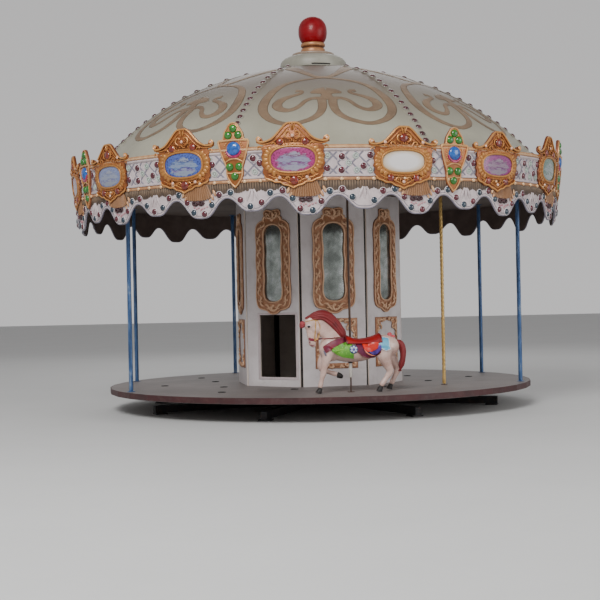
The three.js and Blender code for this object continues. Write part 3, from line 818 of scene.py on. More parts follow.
def frame_leaves(kind):
    """The broad band of leaves that spreads from the ring, and the ring itself."""
    wide, high, z = OVALS[kind]
    leaf = bead("frame_leaf", "leaf", (0.03, 0.012, 0.04))
    leaves = []
    for x, up, turn in on_oval(wide + 0.062, high + 0.056, z, 30, 0.5, 0.9):
        if 30 < abs(turn) < 160:
            a = radians(turn)
            leaves.append(at(x, -0.016, up, 1, turn))
            leaves.append(at(x + 0.03 * sin(a), -0.014, up + 0.03 * cos(a), 0.45, turn))
    ring = [(x, -0.018, up, 0.014) for x, up in oval_line(kind, 0.012, 0.012, 44)]
    outlines = [oval_line(kind, 0.104, 0.052, 40, 0.9), oval_line(kind, 0, 0, 40)]
    ground = plate("frame_ground", outlines, -0.01, -0.021, 0.004)
    pieces = [repeated("frame_leaves", leaf, leaves), rods("frame_ring", [ring], 8, 1, True), ground]
    discarded(leaf)
    return joined("frame_leaf_band", pieces)


def picture_frame(kind):
    """One whole frame; kind 0 has one jewel above and two below, kind 1 has two above and one below."""
    gilt = joined("frame_gilt", [frame_base(kind), frame_scrolls(kind), frame_beads(kind)])
    coated(marked(gilt, -0.006, -0.034), "gold")
    band = coated(marked(frame_leaves(kind), -0.004, -0.032), "leaf")
    if kind == 0:
        reds = [(0, 3.445, 1.2), (-0.163, 2.966, 1), (0.163, 2.966, 1)]
        pearls = [(-0.403, 3.406), (0.403, 3.406), (-0.24, 3.392), (0.24, 3.392), (0, 2.922)]
    else:
        reds = [(-0.15, 3.41, 1), (0.15, 3.41, 1), (0.01, 2.955, 1.25)]
        pearls = [(-0.403, 3.452), (0.403, 3.452), (0, 3.484), (-0.163, 2.99), (0.163, 2.99)]
    red = cabochon("frame_red", "garnet", 0.045, False, 0.5)
    pearl = cabochon("frame_pearl", "pearl", 0.021, False)
    stones = repeated("frame_reds", red, [at(x, -0.016, z, size) for x, z, size in reds])
    pips = repeated("frame_pearls", pearl, [at(x, -0.024, z) for x, z in pearls])
    discarded(red, pearl)
    return shifted(joined("picture_frame", [gilt, band, stones, pips]), y=-FRAME_OUT)


def picture_board(kind, paint):
    """The slightly crowned painted oval that fills a frame, with its edge under the ring."""
    wide, high, z = OVALS[kind]
    lap, crown = 0.008, 0.008
    deselected()
    bpy.ops.mesh.primitive_uv_sphere_add(segments=40, ring_count=16, radius=1)
    board = named("picture_board")
    cut(board, (0, 0, 0), (0, 0, 1), clear_inner=True)
    for vertex in board.data.vertices:
        vertex.co.x, vertex.co.y = bulged(vertex.co.x, vertex.co.y, OVAL_POWER)
    upright = rotation(90, "X") @ Matrix.Diagonal((wide + lap, high + lap, crown, 1))
    board.data.transform(Matrix.Translation((0, -0.011 - FRAME_OUT, z)) @ upright)
    return coated(mapped(smoothed(board), 2 * wide, 2 * high, z), paint)


def plaque():
    """The shield between two frames, with its clusters of green jewels and one large blue one."""
    shield = plate("plaque_base", [closed_outline(PLAQUE_HALF)], 0.012, -0.026, 0.01)
    edge = level(-0.03, [(0, 3.588, 0.009), (0.04, 3.576, 0.009), (0.077, 3.525, 0.01), (0.112, 3.467, 0.01),
                         (0.122, 3.42, 0.01), (0.135, 3.385, 0.011), (0.184, 3.372, 0.013),
                         (0.176, 3.3, 0.011), (0.14, 3.17, 0.01), (0.1, 3.06, 0.01), (0.098, 2.97, 0.01),
                         (0.04, 2.86, 0.009), (0, 2.82, 0.01)])
    band = [(0.176, -0.03, 3.37, 0.01), (0.08, -0.034, 3.378, 0.011), (0, -0.036, 3.38, 0.011)]
    waist = [(0.11, -0.03, 3.12, 0.007), (0.05, -0.034, 3.15, 0.009), (0, -0.034, 3.16, 0.01)]
    foot = [(0.1, -0.03, 2.99, 0.007), (0.05, -0.032, 2.985, 0.009), (0, -0.034, 2.99, 0.009)]
    lines = [line for half in (edge, band, waist, foot) for line in both_sides(half)]
    seed = bead("plaque_bead", "copper", (0.009, 0.009, 0.009))
    seeds = [at(x, -0.028, z) for x, z, _ in on_oval(0.118, 0.112, 3.272, 28)]
    beads = repeated("plaque_beads", seed, seeds)
    copper = joined("plaque_copper", [shield, rods("plaque_edge", lines, 6, 4), beads])
    coated(marked(copper, -0.012, -0.044), "copper", "leaf")

    def on_lower_field(face):
        return face.normal.y < -0.9 and face.center.y > -0.028 and face.center.z < 3.16

    repainted(copper, 1, on_lower_field)
    green = cabochon("plaque_green", "green", 0.05, False)
    blue = cabochon("plaque_blue", "blue", 0.088, False, 0.48)
    greens = [(0, 3.52), (-0.063, 3.44), (0.063, 3.44), (-0.06, 3.062), (0.06, 3.062), (0, 2.95)]
    reach, middle = 0.094, 3.272
    crescent = [(reach * sin(t), -0.034, middle - reach * cos(t), 0.015 * cos(t) ** 0.5 + 0.004)
                for t in [radians(a) for a in range(-78, 79, 13)]]
    pieces = [
        copper,
        repeated("plaque_greens", green, [at(x, -0.024, z) for x, z in greens]),
        repeated("plaque_blues", blue, [at(0, -0.024, 3.275)]),
        coated(rods("plaque_crescent", [crescent], 8, 2), "crimson"),
    ]
    discarded(seed, green, blue)
    return joined("plaque", pieces)


CORNICE = (
    (2.989, 0.004), (2.992, -0.008), (2.999, -0.012), (3.012, -0.012), (3.02, -0.006), (3.024, 0.002),
    (3.1, 0.002), (3.2, 0.002), (3.28, 0.002), (3.284, 0.005), (3.289, 0.002), (3.296, -0.002),
    (3.3, -0.012), (3.308, -0.016), (3.318, -0.015), (3.325, -0.006), (3.346, 0.002),
)
LATTICE = (3.022, 3.284, 0.174)  # lowest, highest and the diagonal of a diamond


def strip(name, section, columns, x_from, x_to):
    """A long moulding: a grid whose rows follow a section of (height, depth)."""
    rows = len(section) - 1
    deselected()
    bpy.ops.mesh.primitive_grid_add(x_subdivisions=columns, y_subdivisions=rows, size=2)
    piece = named(name)
    for vertex in piece.data.vertices:
        z, y = section[round((vertex.co.y + 1) / 2 * rows)]
        vertex.co = (x_from + (x_to - x_from) * (vertex.co.x + 1) / 2, y, z)
    return piece


def arc_at(angle, flat=FLAT_RADIUS):
    """Where an angle lies on the flat layout."""
    return radians(angle) * flat


def bay_ends(flat=FLAT_RADIUS):
    return arc_at(BAY_START, flat), arc_at(BAY_START + BAY, flat)


def lattice():
    """Crossed slats at 45 degrees, cut off at the borders."""
    low, high, diagonal = LATTICE
    x_from, x_to = bay_ends()
    deselected()
    bpy.ops.mesh.primitive_cube_add(size=1, scale=(0.62, 0.014, 0.019), location=(0, 0, 0))
    slat = settled("slat")
    opened(slat, "EDGE", lambda edge: all(slat.data.vertices[i].co.y < 0 for i in edge.vertices))
    bpy.ops.mesh.bevel(offset=0.003, segments=1)
    closed()
    for n in range(-3, 4):
        cut(slat, (0.085 * n, 0, 0), (1, 0, 0))
    places = []
    for n in range(-2, int((x_to - x_from) / diagonal) + 3):
        for lean, depth in ((-45, 0.003), (45, 0.0036)):
            places.append(at(x_from + n * diagonal, depth, (low + high) / 2, 1, lean))
    slats = repeated("lattice", slat, places)
    discarded(slat)
    for z, up in ((low, -1), (high, 1)):
        cut(slats, (0, 0, z), (0, 0, up), clear_outer=True)
    for x, out in ((x_from, -1), (x_to, 1)):
        cut(slats, (x, 0, 0), (out, 0, 0), clear_outer=True)
    return coated(smoothed(slats, 30), "slat")


# Along the wall from the joint's line or from the plaque's middle, and height
OPEN_WALL_JEWELS = ((-0.246, 3.092), (-0.07, 3.226), (-0.076, 3.067), (0.189, 3.113), (0.272, 3.24))
OPEN_WALL_ROSETTES = ((-0.244, 3.24), (0.096, 3.234), (0.108, 3.066), (0.275, 3.068), (0.01, 3.15))
PLAQUE_WALL_JEWELS = ((-0.294, 3.184), (0.232, 3.234), (0.313, 3.172))
PLAQUE_WALL_ROSETTES = ((-0.27, 3.07), (-0.33, 3.25), (0.25, 3.075))


def rosettes_and_jewels():
    """Small rosettes in the diamonds, some of them with a red jewel instead."""
    ring = hoop("rosette_ring", "rosette", 0.031, 0.008, 12)
    rosette = joined("rosette", [ring, bead("rosette_button", "rosette", (0.016, 0.01, 0.016))])
    red = cabochon("wall_red", "wine", 0.041, True, 0.62)
    pieces = []
    for name, model, on_open, on_plaque in (
        ("wall_rosettes", rosette, OPEN_WALL_ROSETTES, PLAQUE_WALL_ROSETTES),
        ("wall_jewels", red, OPEN_WALL_JEWELS, PLAQUE_WALL_JEWELS),
    ):
        places = [(x if x > arc_at(BAY_START) else x + arc_at(BAY), z) for x, z in on_open]
        places += [(arc_at(PLAQUE_ANGLE) + x, z) for x, z in on_plaque]
        pieces.append(repeated(name, model, [at(x, -0.003, z) for x, z in places]))
    discarded(rosette, red)
    return pieces


KNOB_SPACING = 0.2
WALL_COLUMNS = 48


def knob_steps(flat=FLAT_RADIUS):
    """How many knobs the belt of a bay has, and how far apart they are."""
    x_from, x_to = bay_ends(flat)
    count = round((x_to - x_from) / KNOB_SPACING)
    return count, (x_to - x_from) / count


def wall_bay():
    """The lattice wall of one bay with its mouldings, gold lines and knobs, and the ledge behind its top."""
    x_from, x_to = bay_ends()
    crown = ((3.325, 0.002), (3.327, -0.013), (3.334, -0.022), (3.342, -0.026), (3.351, -0.022),
             (3.356, -0.016), (3.363, -0.02), (3.37, -0.014), (3.372, -0.002), (3.368, 0.02))
    belt = ((2.948, 0.006), (2.951, -0.008), (2.96, -0.014), (2.972, -0.015), (2.983, -0.01), (2.989, 0.004))
    ledge = ((3.368, 0.02), (3.367, 0.1), (3.366, 0.32))
    back = ((3.366, 0.32), (3.348, 0.32), (3.34, 0.08), (3.33, 0.06), (2.775, 0.033))

    def moulding(name, section):
        return strip(name, section, WALL_COLUMNS, x_from, x_to)

    face = coated(smoothed(moulding("wall_face", CORNICE), 30), "wall")
    lines = [smoothed(moulding("wall_crown", crown)), smoothed(moulding("wall_belt", belt))]
    knob = bead("belt_knob", "edging", (0.028, 0.02, 0.023), 10, 8)
    count, step = knob_steps()
    places = [at(x_from + (n + 0.25) * step, -0.014, 2.964) for n in range(count)]
    gilt = joined("wall_gilt", [*lines, repeated("belt_knobs", knob, places)])
    discarded(knob)
    coated(marked(gilt, 0.004, -0.03), "edging")
    shelf = coated(moulding("wall_ledge", ledge), "wall")
    inner = coated(moulding("wall_back", back), "valance")
    return joined("wall", [face, gilt, shelf, inner, lattice(), *rosettes_and_jewels()])


SCALLOPS = ((3.35, 10.8, 0.166), (14.6, 11.7, 0.23))  # angle, span and drop
SKIRT_TOP, VALLEY = 2.953, 2.78
SMALL, BIG = 0, 1


def wave(angle):
    """Height of the skirt's edge."""
    turn = (angle - BAY_START) % (BAY / 2) + BAY_START
    for middle, span, drop in SCALLOPS:
        t = (turn - middle) / span + 0.5
        if 0 <= t <= 1:
            swell = sin(pi * t) ** 2
            return VALLEY - drop * (swell + swell**2 * (1 - swell))
    return VALLEY


def edge_point(x, rise):
    """A point of the skirt's edge, moved up at right angles to it."""
    step = 0.004
    angle = degrees(x / SKIRT_FLAT)
    slope = (wave(angle + degrees(step / SKIRT_FLAT)) - wave(angle)) / step
    normal = Vector((-slope, 1)).normalized()
    return x + normal.x * rise, wave(angle) + normal.y * rise


def scallop_middles(which):
    return [arc_at(SCALLOPS[which][0] + start, SKIRT_FLAT) for start in (0, BAY / 2)]


def skirt_bay():
    """The scalloped white apron of one bay, with its rolled grey lip and brown back."""
    x_from, x_to = bay_ends(SKIRT_FLAT)
    rows, columns, lip_steps = 10, 150, 120
    apron = strip("skirt_apron", [(1 - n / rows, 0.0) for n in range(rows + 1)], columns, x_from, x_to)
    for vertex in apron.data.vertices:
        low = wave(degrees(vertex.co.x / SKIRT_FLAT))
        vertex.co.z = low + (SKIRT_TOP - low) * vertex.co.z
    lining = copied(apron, "skirt_lining")
    for vertex in lining.data.vertices:
        vertex.co.y = 0.016
    lining.data.flip_normals()
    coated(apron, "wall")
    coated(lining, "valance")
    xs = [x_from + (x_to - x_from) * n / lip_steps for n in range(lip_steps + 1)]
    lip = [(x, 0.008, wave(degrees(x / SKIRT_FLAT)), 0.011) for x in xs]
    line = [(x, -0.002, z, 0.004) for x, z in (edge_point(x, 0.026) for x in xs)]
    edges = coated(rods("skirt_lip", [lip, line], 6, 1), "slat")
    drapes = [swag_band(), pleated_fans(), tassels(), white_ribs(), *bows()]
    return joined("skirt", [smoothed(apron, 60), smoothed(lining, 60), edges, *drapes])


def swag_band():
    """A dark pleated band under the gold belt, in one swag from knob to knob; its dark brown is partly its
    own colour and partly painted shade under the belt.
    """
    x_from, x_to = bay_ends(SKIRT_FLAT)
    count, step = knob_steps(SKIRT_FLAT)
    top, foot, pleats, rows = 2.951, 2.855, 6, 4
    section = [(1 - n / rows, -0.003) for n in range(rows + 1)]
    band = strip("swag_band", section, 24 * count, x_from, x_to)
    for vertex in band.data.vertices:
        phase = ((vertex.co.x - x_from) / step - 0.25) % 1
        pleat = 0.5 + 0.5 * cos(2 * pi * pleats * phase)
        low = foot - 0.03 * sin(pi * phase) + 0.008 * pleat
        vertex.co.y -= 0.011 * pleat * (0.25 + 0.75 * sin(pi * min(1, 1.25 - vertex.co.z)))
        vertex.co.z = low + (top - low) * vertex.co.z
    return coated(marked(smoothed(band, 60), -0.001, -0.015), "swag")


def pleated_fans():
    """A peach fan on each big scallop."""
    top, foot, pleats, rows = 2.948, 2.765, 13, 6
    fans = []
    for middle in scallop_middles(BIG):
        fan = strip("fan", [(1 - n / rows, 0.0) for n in range(rows + 1)], 54, -1, 1)
        for vertex in fan.data.vertices:
            across, drop = vertex.co.x, 1 - vertex.co.z
            pleat = 0.5 + 0.5 * cos(across * pleats * pi)
            low = foot + 0.05 * across**4 - 0.006 * pleat
            out = -0.008 - 0.01 * pleat * (1 - 0.6 * across**6)
            vertex.co = (middle - 0.03 + across * (0.135 + 0.06 * drop), out, top + (low - top) * drop)
        fans.append(modified(fan, "SOLIDIFY", thickness=0.006, offset=-1))
    return coated(marked(joined("fans", fans), -0.0085, -0.0185), "pleat")


def tassels():
    """Three gilt tassels on each side of a fan, smaller and closer to it as they go down."""
    tassel = bead("tassel", "pleat", (0.018, 0.011, 0.042))
    places = []
    for middle in scallop_middles(BIG):
        for side in (-1, 1):
            for n in range(3):
                x = middle - 0.02 + side * (0.215 - 0.03 * n)
                places.append(at(x, -0.01, 2.845 - 0.05 * n, 1.1 - 0.15 * n, side * -22))
    hung = coated(marked(repeated("tassels", tassel, places), 0.004, -0.03), "edging")
    discarded(tassel)
    return hung


def white_ribs():
    """Three spreading ribs on each small scallop."""
    ribs = []
    for middle in scallop_middles(SMALL):
        for lean in (-1, 0, 1):
            ribs.append([(middle + 0.02 * lean, -0.001, 2.868, 0.012),
                         (middle + 0.05 * lean, -0.004, 2.8, 0.02),
                         (middle + 0.07 * lean, 0.0, 2.73, 0.008)])
    return coated(rods("white_ribs", ribs, 6, 3), "wall")


def bows():
    """A dark bow with two open loops on each big scallop, over a spray of small pale buds."""
    steps = 12
    turns = [2 * pi * k / steps for k in range(steps)]
    loops = [[(side * (0.044 + 0.032 * cos(t)), -0.012, 2.73 + 0.019 * sin(t), 0.0135) for t in turns]
             for side in (-1, 1)]
    tail = [(0.006, -0.01, 2.724, 0.011), (0.024, -0.01, 2.707, 0.011), (0.046, -0.009, 2.7, 0.007)]
    ribbon = [rods("bow_loops", loops, 6, 1, True), rods("bow_tails", both_sides(tail), 6, 2)]
    bow = coated(joined("bow", ribbon), "bow")
    knot = bead("bow_knot", "bow", (0.014, 0.012, 0.014))
    bow = joined("bow", [bow, repeated("bow_knots", knot, [at(0, -0.016, 2.726)])])
    bud = bead("bud", "bud", (0.013, 0.009, 0.011))
    spray = (
        (-0.09, 2.68), (-0.06, 2.665), (-0.03, 2.675), (0.02, 2.662), (0.05, 2.672), (0.085, 2.683),
        (0, 2.648),
    )
    middles = scallop_middles(BIG)
    buds = [at(middle + x, -0.004, z) for middle in middles for x, z in spray]
    pieces = [
        repeated("bows", bow, [at(middle - 0.03, 0, 0) for middle in middles]),
        repeated("buds", bud, buds),
    ]
    discarded(knot, bow, bud)
    return pieces


SKIRT_JEWELS = 22  # in a bay


def jewel_point(x):
    """A point of the jewels' line, which runs closer to the edge at the foot of a scallop."""
    foot = 2.55
    share = (wave(degrees(x / SKIRT_FLAT)) - foot) / (VALLEY - foot)
    return edge_point(x, 0.044 + 0.022 * share)


def skirt_jewels(missing):
    """Alternate slate and wine jewels that follow the skirt's edge; some may be missing."""
    x_from, x_to = bay_ends(SKIRT_FLAT)
    steps, first = 1200, 0.035
    line = [jewel_point(x_from + first + (x_to - x_from) * n / steps) for n in range(steps + 1)]
    reds, slates = [], []
    for n, (x, z) in enumerate(spaced(line, SKIRT_JEWELS)[:-1]):
        if n not in missing:
            (slates if n % 2 else reds).append(at(x, -0.007, z))
    red, slate = [cabochon("edge_" + paint, paint, 0.04, True, 0.62) for paint in ("wine", "slate")]
    rows = [repeated("edge_reds", red, reds), repeated("edge_slates", slate, slates)]
    discarded(red, slate)
    return joined("skirt_jewels", rows)


BAY_PICTURES = (
    ("blank", "violet"), ("green", "blue"), ("magenta", "violet"), ("green", "blue"),
    ("violet", "magenta"), ("green", "violet"), ("violet", "pale"), ("blue", "magenta"),
)
LOST_JEWELS = (2,)  # in the front bay only


def canopy():
    wall, skirt = wrapped(wall_bay()), wrapped(skirt_bay(), SKIRT_FLAT)
    jewels = [wrapped(skirt_jewels(lost), SKIRT_FLAT) for lost in ((), LOST_JEWELS)]
    shield = wrapped(plaque())
    frames = [wrapped(picture_frame(kind)) for kind in (0, 1)]
    for bay in range(BAYS):
        start, kind = BAY * bay, bay % 2
        parts = [turned_copy(wall, "wall", start), turned_copy(skirt, "skirt", start)]
        parts.append(turned_copy(jewels[bay == 0], "jewels", start))
        parts.append(shifted(turned_copy(shield, "plaque", start + PLAQUE_ANGLE), z=PLAQUE_LIFT[kind]))
        for angle, name in zip(FRAME_ANGLES, BAY_PICTURES[bay]):
            parts.append(turned_copy(frames[kind], "frame", start + angle))
            parts.append(turned(wrapped(picture_board(kind, "picture_" + name)), start + angle))
        piece = joined(f"canopy_dress_{bay + 1}", parts)
        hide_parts(f"canopy_board_{bay + 1}")
        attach(piece, "turntable")
    discarded(wall, skirt, shield, *frames, *jewels)


# ---- dome and finial
def on_dome(offset, polar, proud=0.0):
    """A point of the dome from its angle round the axis and its angle down from the crown."""
    a, p = radians(offset), radians(polar)
    reach = (DOME_RADIUS + proud) * sin(p)
    return (reach * sin(a), -reach * cos(a), DOME_CENTRE + (DOME_RADIUS + proud) * cos(p))


def dome_angle(height, radius=DOME_RADIUS):
    """The angle down from the crown at a height."""
    return degrees(acos((height - DOME_CENTRE) / radius))


def pressed(piece, flatness):
    """Presses a piece onto the dome's surface so that it stands only a little proud."""
    centre, lift = Vector((0, 0, DOME_CENTRE)), 0.0025
    for vertex in piece.data.vertices:
        arm = vertex.co - centre
        radius = DOME_RADIUS + lift + (arm.length - DOME_RADIUS) * flatness
        vertex.co = centre + arm.normalized() * radius
    return piece


def dome_shell():
    foot = dome_angle(DOME_FOOT)
    crown = degrees(asin(DOME_HOLE / DOME_RADIUS))
    steps = 22
    arc = [radians(crown + (foot - crown) * n / steps) for n in range(steps + 1)]

    def section(radius):
        return [(radius * sin(a), DOME_CENTRE + radius * cos(a)) for a in arc]

    outer, inner = section(DOME_RADIUS), section(DOME_RADIUS - DOME_WALL)
    return coated(lathe("dome_shell", [*inner, *reversed(outer), inner[0]], 144), "dome")


# One half of the scrollwork: angle round the axis, angle down from the crown, and half the painted width
SCROLL = (
    (1.6, 36.4, 0.05), (1.5, 38.8, 0.047), (2.2, 41.0, 0.042), (3.9, 42.6, 0.036), (6.5, 43.7, 0.031),
    (9.6, 44.3, 0.029), (13.0, 43.6, 0.033), (15.8, 42.0, 0.043), (17.6, 39.8, 0.053), (18.1, 37.4, 0.056),
    (17.7, 34.8, 0.052), (16.4, 32.0, 0.044), (13.9, 29.7, 0.036), (10.4, 28.3, 0.028), (6.6, 27.5, 0.022),
    (3.2, 26.9, 0.02), (0.0, 26.5, 0.024),
)
HOOK = ((1.6, 36.4, 0.04), (4.0, 36.2, 0.029), (6.0, 37.0, 0.027), (8.0, 39.0, 0.028), (10.2, 40.1, 0.032),
        (12.5, 39.8, 0.043), (14.0, 38.5, 0.056), (13.5, 36.8, 0.05), (11.6, 35.6, 0.035), (9.4, 34.8, 0.026),
        (7.8, 34.1, 0.026), (7.9, 33.2, 0.024), (9.6, 33.1, 0.036))
CAP = ((0.0, 33.2, 0.095), (2.6, 33.5, 0.068), (4.8, 34.1, 0.02))
STEM = ((0.0, 33.6, 0.066), (0.0, 35.0, 0.055), (0.9, 36.6, 0.054))
FUNNEL = ((0.0, 26.2, 0.034), (2.6, 25.9, 0.034), (5.0, 24.8, 0.036), (8.2, 22.8, 0.045), (12.5, 20.2, 0.064),
          (17.0, 17.8, 0.078), (20.6, 15.6, 0.06))


def dome_scrolls():
    """The painted scrollwork of one dome sector, both halves."""
    lines = []
    for half in (SCROLL, HOOK, CAP, STEM, FUNNEL):
        for side in (-1, 1):
            lines.append([(*on_dome(side * offset, polar), 1.2 * width) for offset, polar, width in half])
    return coated(pressed(rods("dome_scrolls", lines, 10, 6), 0.05), "scroll")


BULBS, LOWEST_BULB, BULB_RISE = 15, 3.474, 0.0931  # of a rib: how many, the first's height, their step


def dome_rib():
    """A low rounded rib with its row of glass bulbs."""
    foot, crown, steps = dome_angle(DOME_FOOT), 7.2, 26
    half_width, height = 0.062, 0.013
    section = [(crown + (foot - crown) * n / steps, 0.0) for n in range(steps + 1)]
    rib = strip("dome_rib", section, 10, -1, 1)
    for vertex in rib.data.vertices:
        across, _, polar = vertex.co
        x, y, z = on_dome(0, polar, height * cos(across * pi / 2) ** 0.8 - 0.001)
        vertex.co = (x + across * half_width, y, z)
    coated(smoothed(cleaned(rib), 60), "dome")
    bulb = bead("rib_bulb", "bulb", (0.041, 0.041, 0.025), 10, 8)
    lamp = joined("rib_lamp", [bulb, bead("bulb_collar", "cap", (0.05, 0.05, 0.008), 10, 6)])
    places = []
    for n in range(BULBS):
        polar = dome_angle(LOWEST_BULB + BULB_RISE * n, DOME_RADIUS + 0.012)
        tilt = rotation(polar, "X")
        places.append(Matrix.Translation(on_dome(0, polar, height)) @ tilt)
    lamps = repeated("rib_lamps", lamp, places)
    discarded(lamp)
    return joined("dome_rib", [rib, lamps])


def dome():
    scrolls, rib = dome_scrolls(), dome_rib()
    parts = [dome_shell()]
    for n in range(BAYS):
        parts.append(turned_copy(scrolls, "scrolls", SCROLL_ANGLE + BAY * n))
        parts.append(turned_copy(rib, "rib", RIB_ANGLE + BAY * n))
    discarded(scrolls, rib)
    piece = joined("dome", parts)
    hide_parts(*[f"dome_section_{n + 1}" for n in range(4)])
    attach(piece, "turntable")


CAP_PROFILE = (
    (0, 4.8897), (0.476, 4.8897), (0.486, 4.894), (0.488, 4.9), (0.4885, 4.932), (0.4885, 4.96),
    (0.486, 4.985), (0.478, 5.01), (0.464, 5.032), (0.444, 5.052), (0.418, 5.069), (0.388, 5.083),
    (0.354, 5.094), (0.322, 5.1), (0.306, 5.103), (0.307, 5.107), (0.312, 5.112), (0.312, 5.129),
    (0.308, 5.135), (0.298, 5.1395), (0, 5.14),
)
NECK_PROFILE = (
    (0, 5.1403), (0.172, 5.1403), (0.178, 5.146), (0.18, 5.16), (0.18, 5.196), (0.176, 5.21),
    (0.168, 5.218), (0.16, 5.223), (0.157, 5.23), (0.16, 5.238), (0.168, 5.244), (0.177, 5.252),
    (0.18, 5.264), (0.179, 5.284), (0.174, 5.295), (0.166, 5.3), (0, 5.3),
)
BALL_PROFILE = (
    (0, 5.3003), (0.146, 5.3003), (0.163, 5.312), (0.185, 5.342), (0.201, 5.38), (0.21, 5.422),
    (0.213, 5.465), (0.211, 5.508), (0.203, 5.549), (0.19, 5.585), (0.172, 5.616), (0.15, 5.642),
    (0.124, 5.662), (0.095, 5.677), (0.063, 5.688), (0.032, 5.6935), (0, 5.695),
)


def finial():
    """The white cap with its louvre slots, shallow recesses painted black as painted shade of an opening, the
    gold neck's two rings and the red ball.
    """
    cap = coated(lathe("finial_cap_dress", CAP_PROFILE, 72), "cap", "black", "tier")

    def in_slot(face):
        x, y, z = face.center
        angle = degrees(atan2(x, -y))
        return 4.9 < z < 4.932 and any(abs(angle - 8 - turn) < 17 for turn in (-90, 0, 90, 172))

    opened(cap, "FACE", in_slot)
    bpy.ops.mesh.inset(thickness=0.006)
    bpy.ops.mesh.extrude_region_shrink_fatten(TRANSFORM_OT_shrink_fatten={"value": -0.018})
    # The slot recesses are painted black: painted shade standing in for an open slot
    cap.active_material_index = 1
    bpy.ops.object.material_slot_assign()
    closed()
    repainted(cap, 2, lambda face: face.center.z > 5.1035)
    neck = lathe("finial_neck_dress", NECK_PROFILE, 48)
    groove, depth = 0.157, 0.022
    # The groove gets painted shade and the rings a painted highlight from the neck paint
    grooved(neck, [(Vector(vertex.co.xy).length - groove) / depth for vertex in neck.data.vertices])
    coated(neck, "neck")
    ball = coated(smoothed(lathe("finial_ball_dress", BALL_PROFILE, 56), 80), "ball")
    for piece, node_name, slot in (
        (cap, "finial_cap", "finial_cap"),
        (neck, "finial_neck", "gold"),
        (ball, "finial_ball", "red_ball"),
    ):
        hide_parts(node_name)
        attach(piece, "turntable")


# ---- drum
PANEL_HALF, PANEL_FOOT, PANEL_TOP = 0.4455, 0.3305, 2.984
HATCH = (-0.228, 0.387, 0.462, 1.33)  # left, right, bottom and top of the opening
MIRROR_HALF = ((0, 2.79), (0.135, 2.79), (0.14, 2.7), (0.165, 2.665), (0.225, 2.64), (0.28, 2.59),
               (0.3, 2.5), (0.288, 2.3), (0.3, 2.1), (0.288, 1.9), (0.3, 1.7), (0.296, 1.5),
               (0.262, 1.43), (0.19, 1.4), (0.12, 1.385), (0.06, 1.345), (0, 1.335))
GLASS_HALF = (
    (0, 2.585), (0.06, 2.575), (0.11, 2.545), (0.142, 2.49), (0.15, 2.42), (0.138, 2.2), (0.15, 2.05),
    (0.138, 1.85), (0.15, 1.7), (0.146, 1.62), (0.125, 1.56), (0.07, 1.525), (0, 1.515),
)
GLASS_MIDDLE = 2.05
LOWER_FRAME = (0.3, 0.575, 1.27, 0.05)  # half width, bottom, top and border
LOWER_MIDDLE = 0.92
LOWER_SHIFT = 0.028  # the low frame and the hatch's side stand a little right of the middle
CORNER = (
    (0, 0), (0, -0.2), (-0.024, -0.212), (-0.044, -0.206), (-0.054, -0.186), (-0.052, -0.168),
    (-0.07, -0.17), (-0.088, -0.158), (-0.094, -0.138), (-0.09, -0.118), (-0.112, -0.116), (-0.13, -0.1),
    (-0.134, -0.08), (-0.128, -0.062), (-0.15, -0.06), (-0.168, -0.046), (-0.172, -0.028), (-0.165, 0),
)


def along(points, spacing):
    """Places spaced evenly along a line, the first half a space in, with the way the line runs there."""
    travelled = spacing / 2
    for (x0, z0), (x1, z1) in zip(points, points[1:]):
        length = hypot(x1 - x0, z1 - z0)
        heading = degrees(atan2(x1 - x0, z1 - z0))
        reach = spacing - travelled
        while reach <= length:
            yield x0 + (x1 - x0) * reach / length, z0 + (z1 - z0) * reach / length, heading
            reach += spacing
        travelled = (travelled + length) % spacing


def between(first, second, share):
    return [(a[0] + (b[0] - a[0]) * share, a[1] + (b[1] - a[1]) * share) for a, b in zip(first, second)]


def scroll_leaf():
    """A curled leaf, 0.1 m long, that lies against the wall."""
    curl = [(0, 0, -0.05, 0.006), (0.016, -0.006, -0.028, 0.012), (0.02, -0.01, 0, 0.016),
            (0.008, -0.012, 0.026, 0.014), (-0.014, -0.012, 0.036, 0.01), (-0.022, -0.014, 0.02, 0.008),
            (-0.012, -0.016, 0.012, 0.007)]
    back = [(0.004, 0, -0.04, 0.004), (0.03, -0.004, -0.016, 0.009), (0.044, -0.005, 0.012, 0.004)]
    return coated(rods("scroll_leaf", [curl, back], 6, 2), "old_gold")


def about(x, z, matrix):
    """The same change about a point of the upright plane."""
    return Matrix.Translation((x, 0, z)) @ matrix @ Matrix.Translation((-x, 0, -z))


def swelled(points, across, up, middle):
    """An outline made wider and higher about its middle height."""
    return [(x * across, middle + (z - middle) * up) for x, z in points]


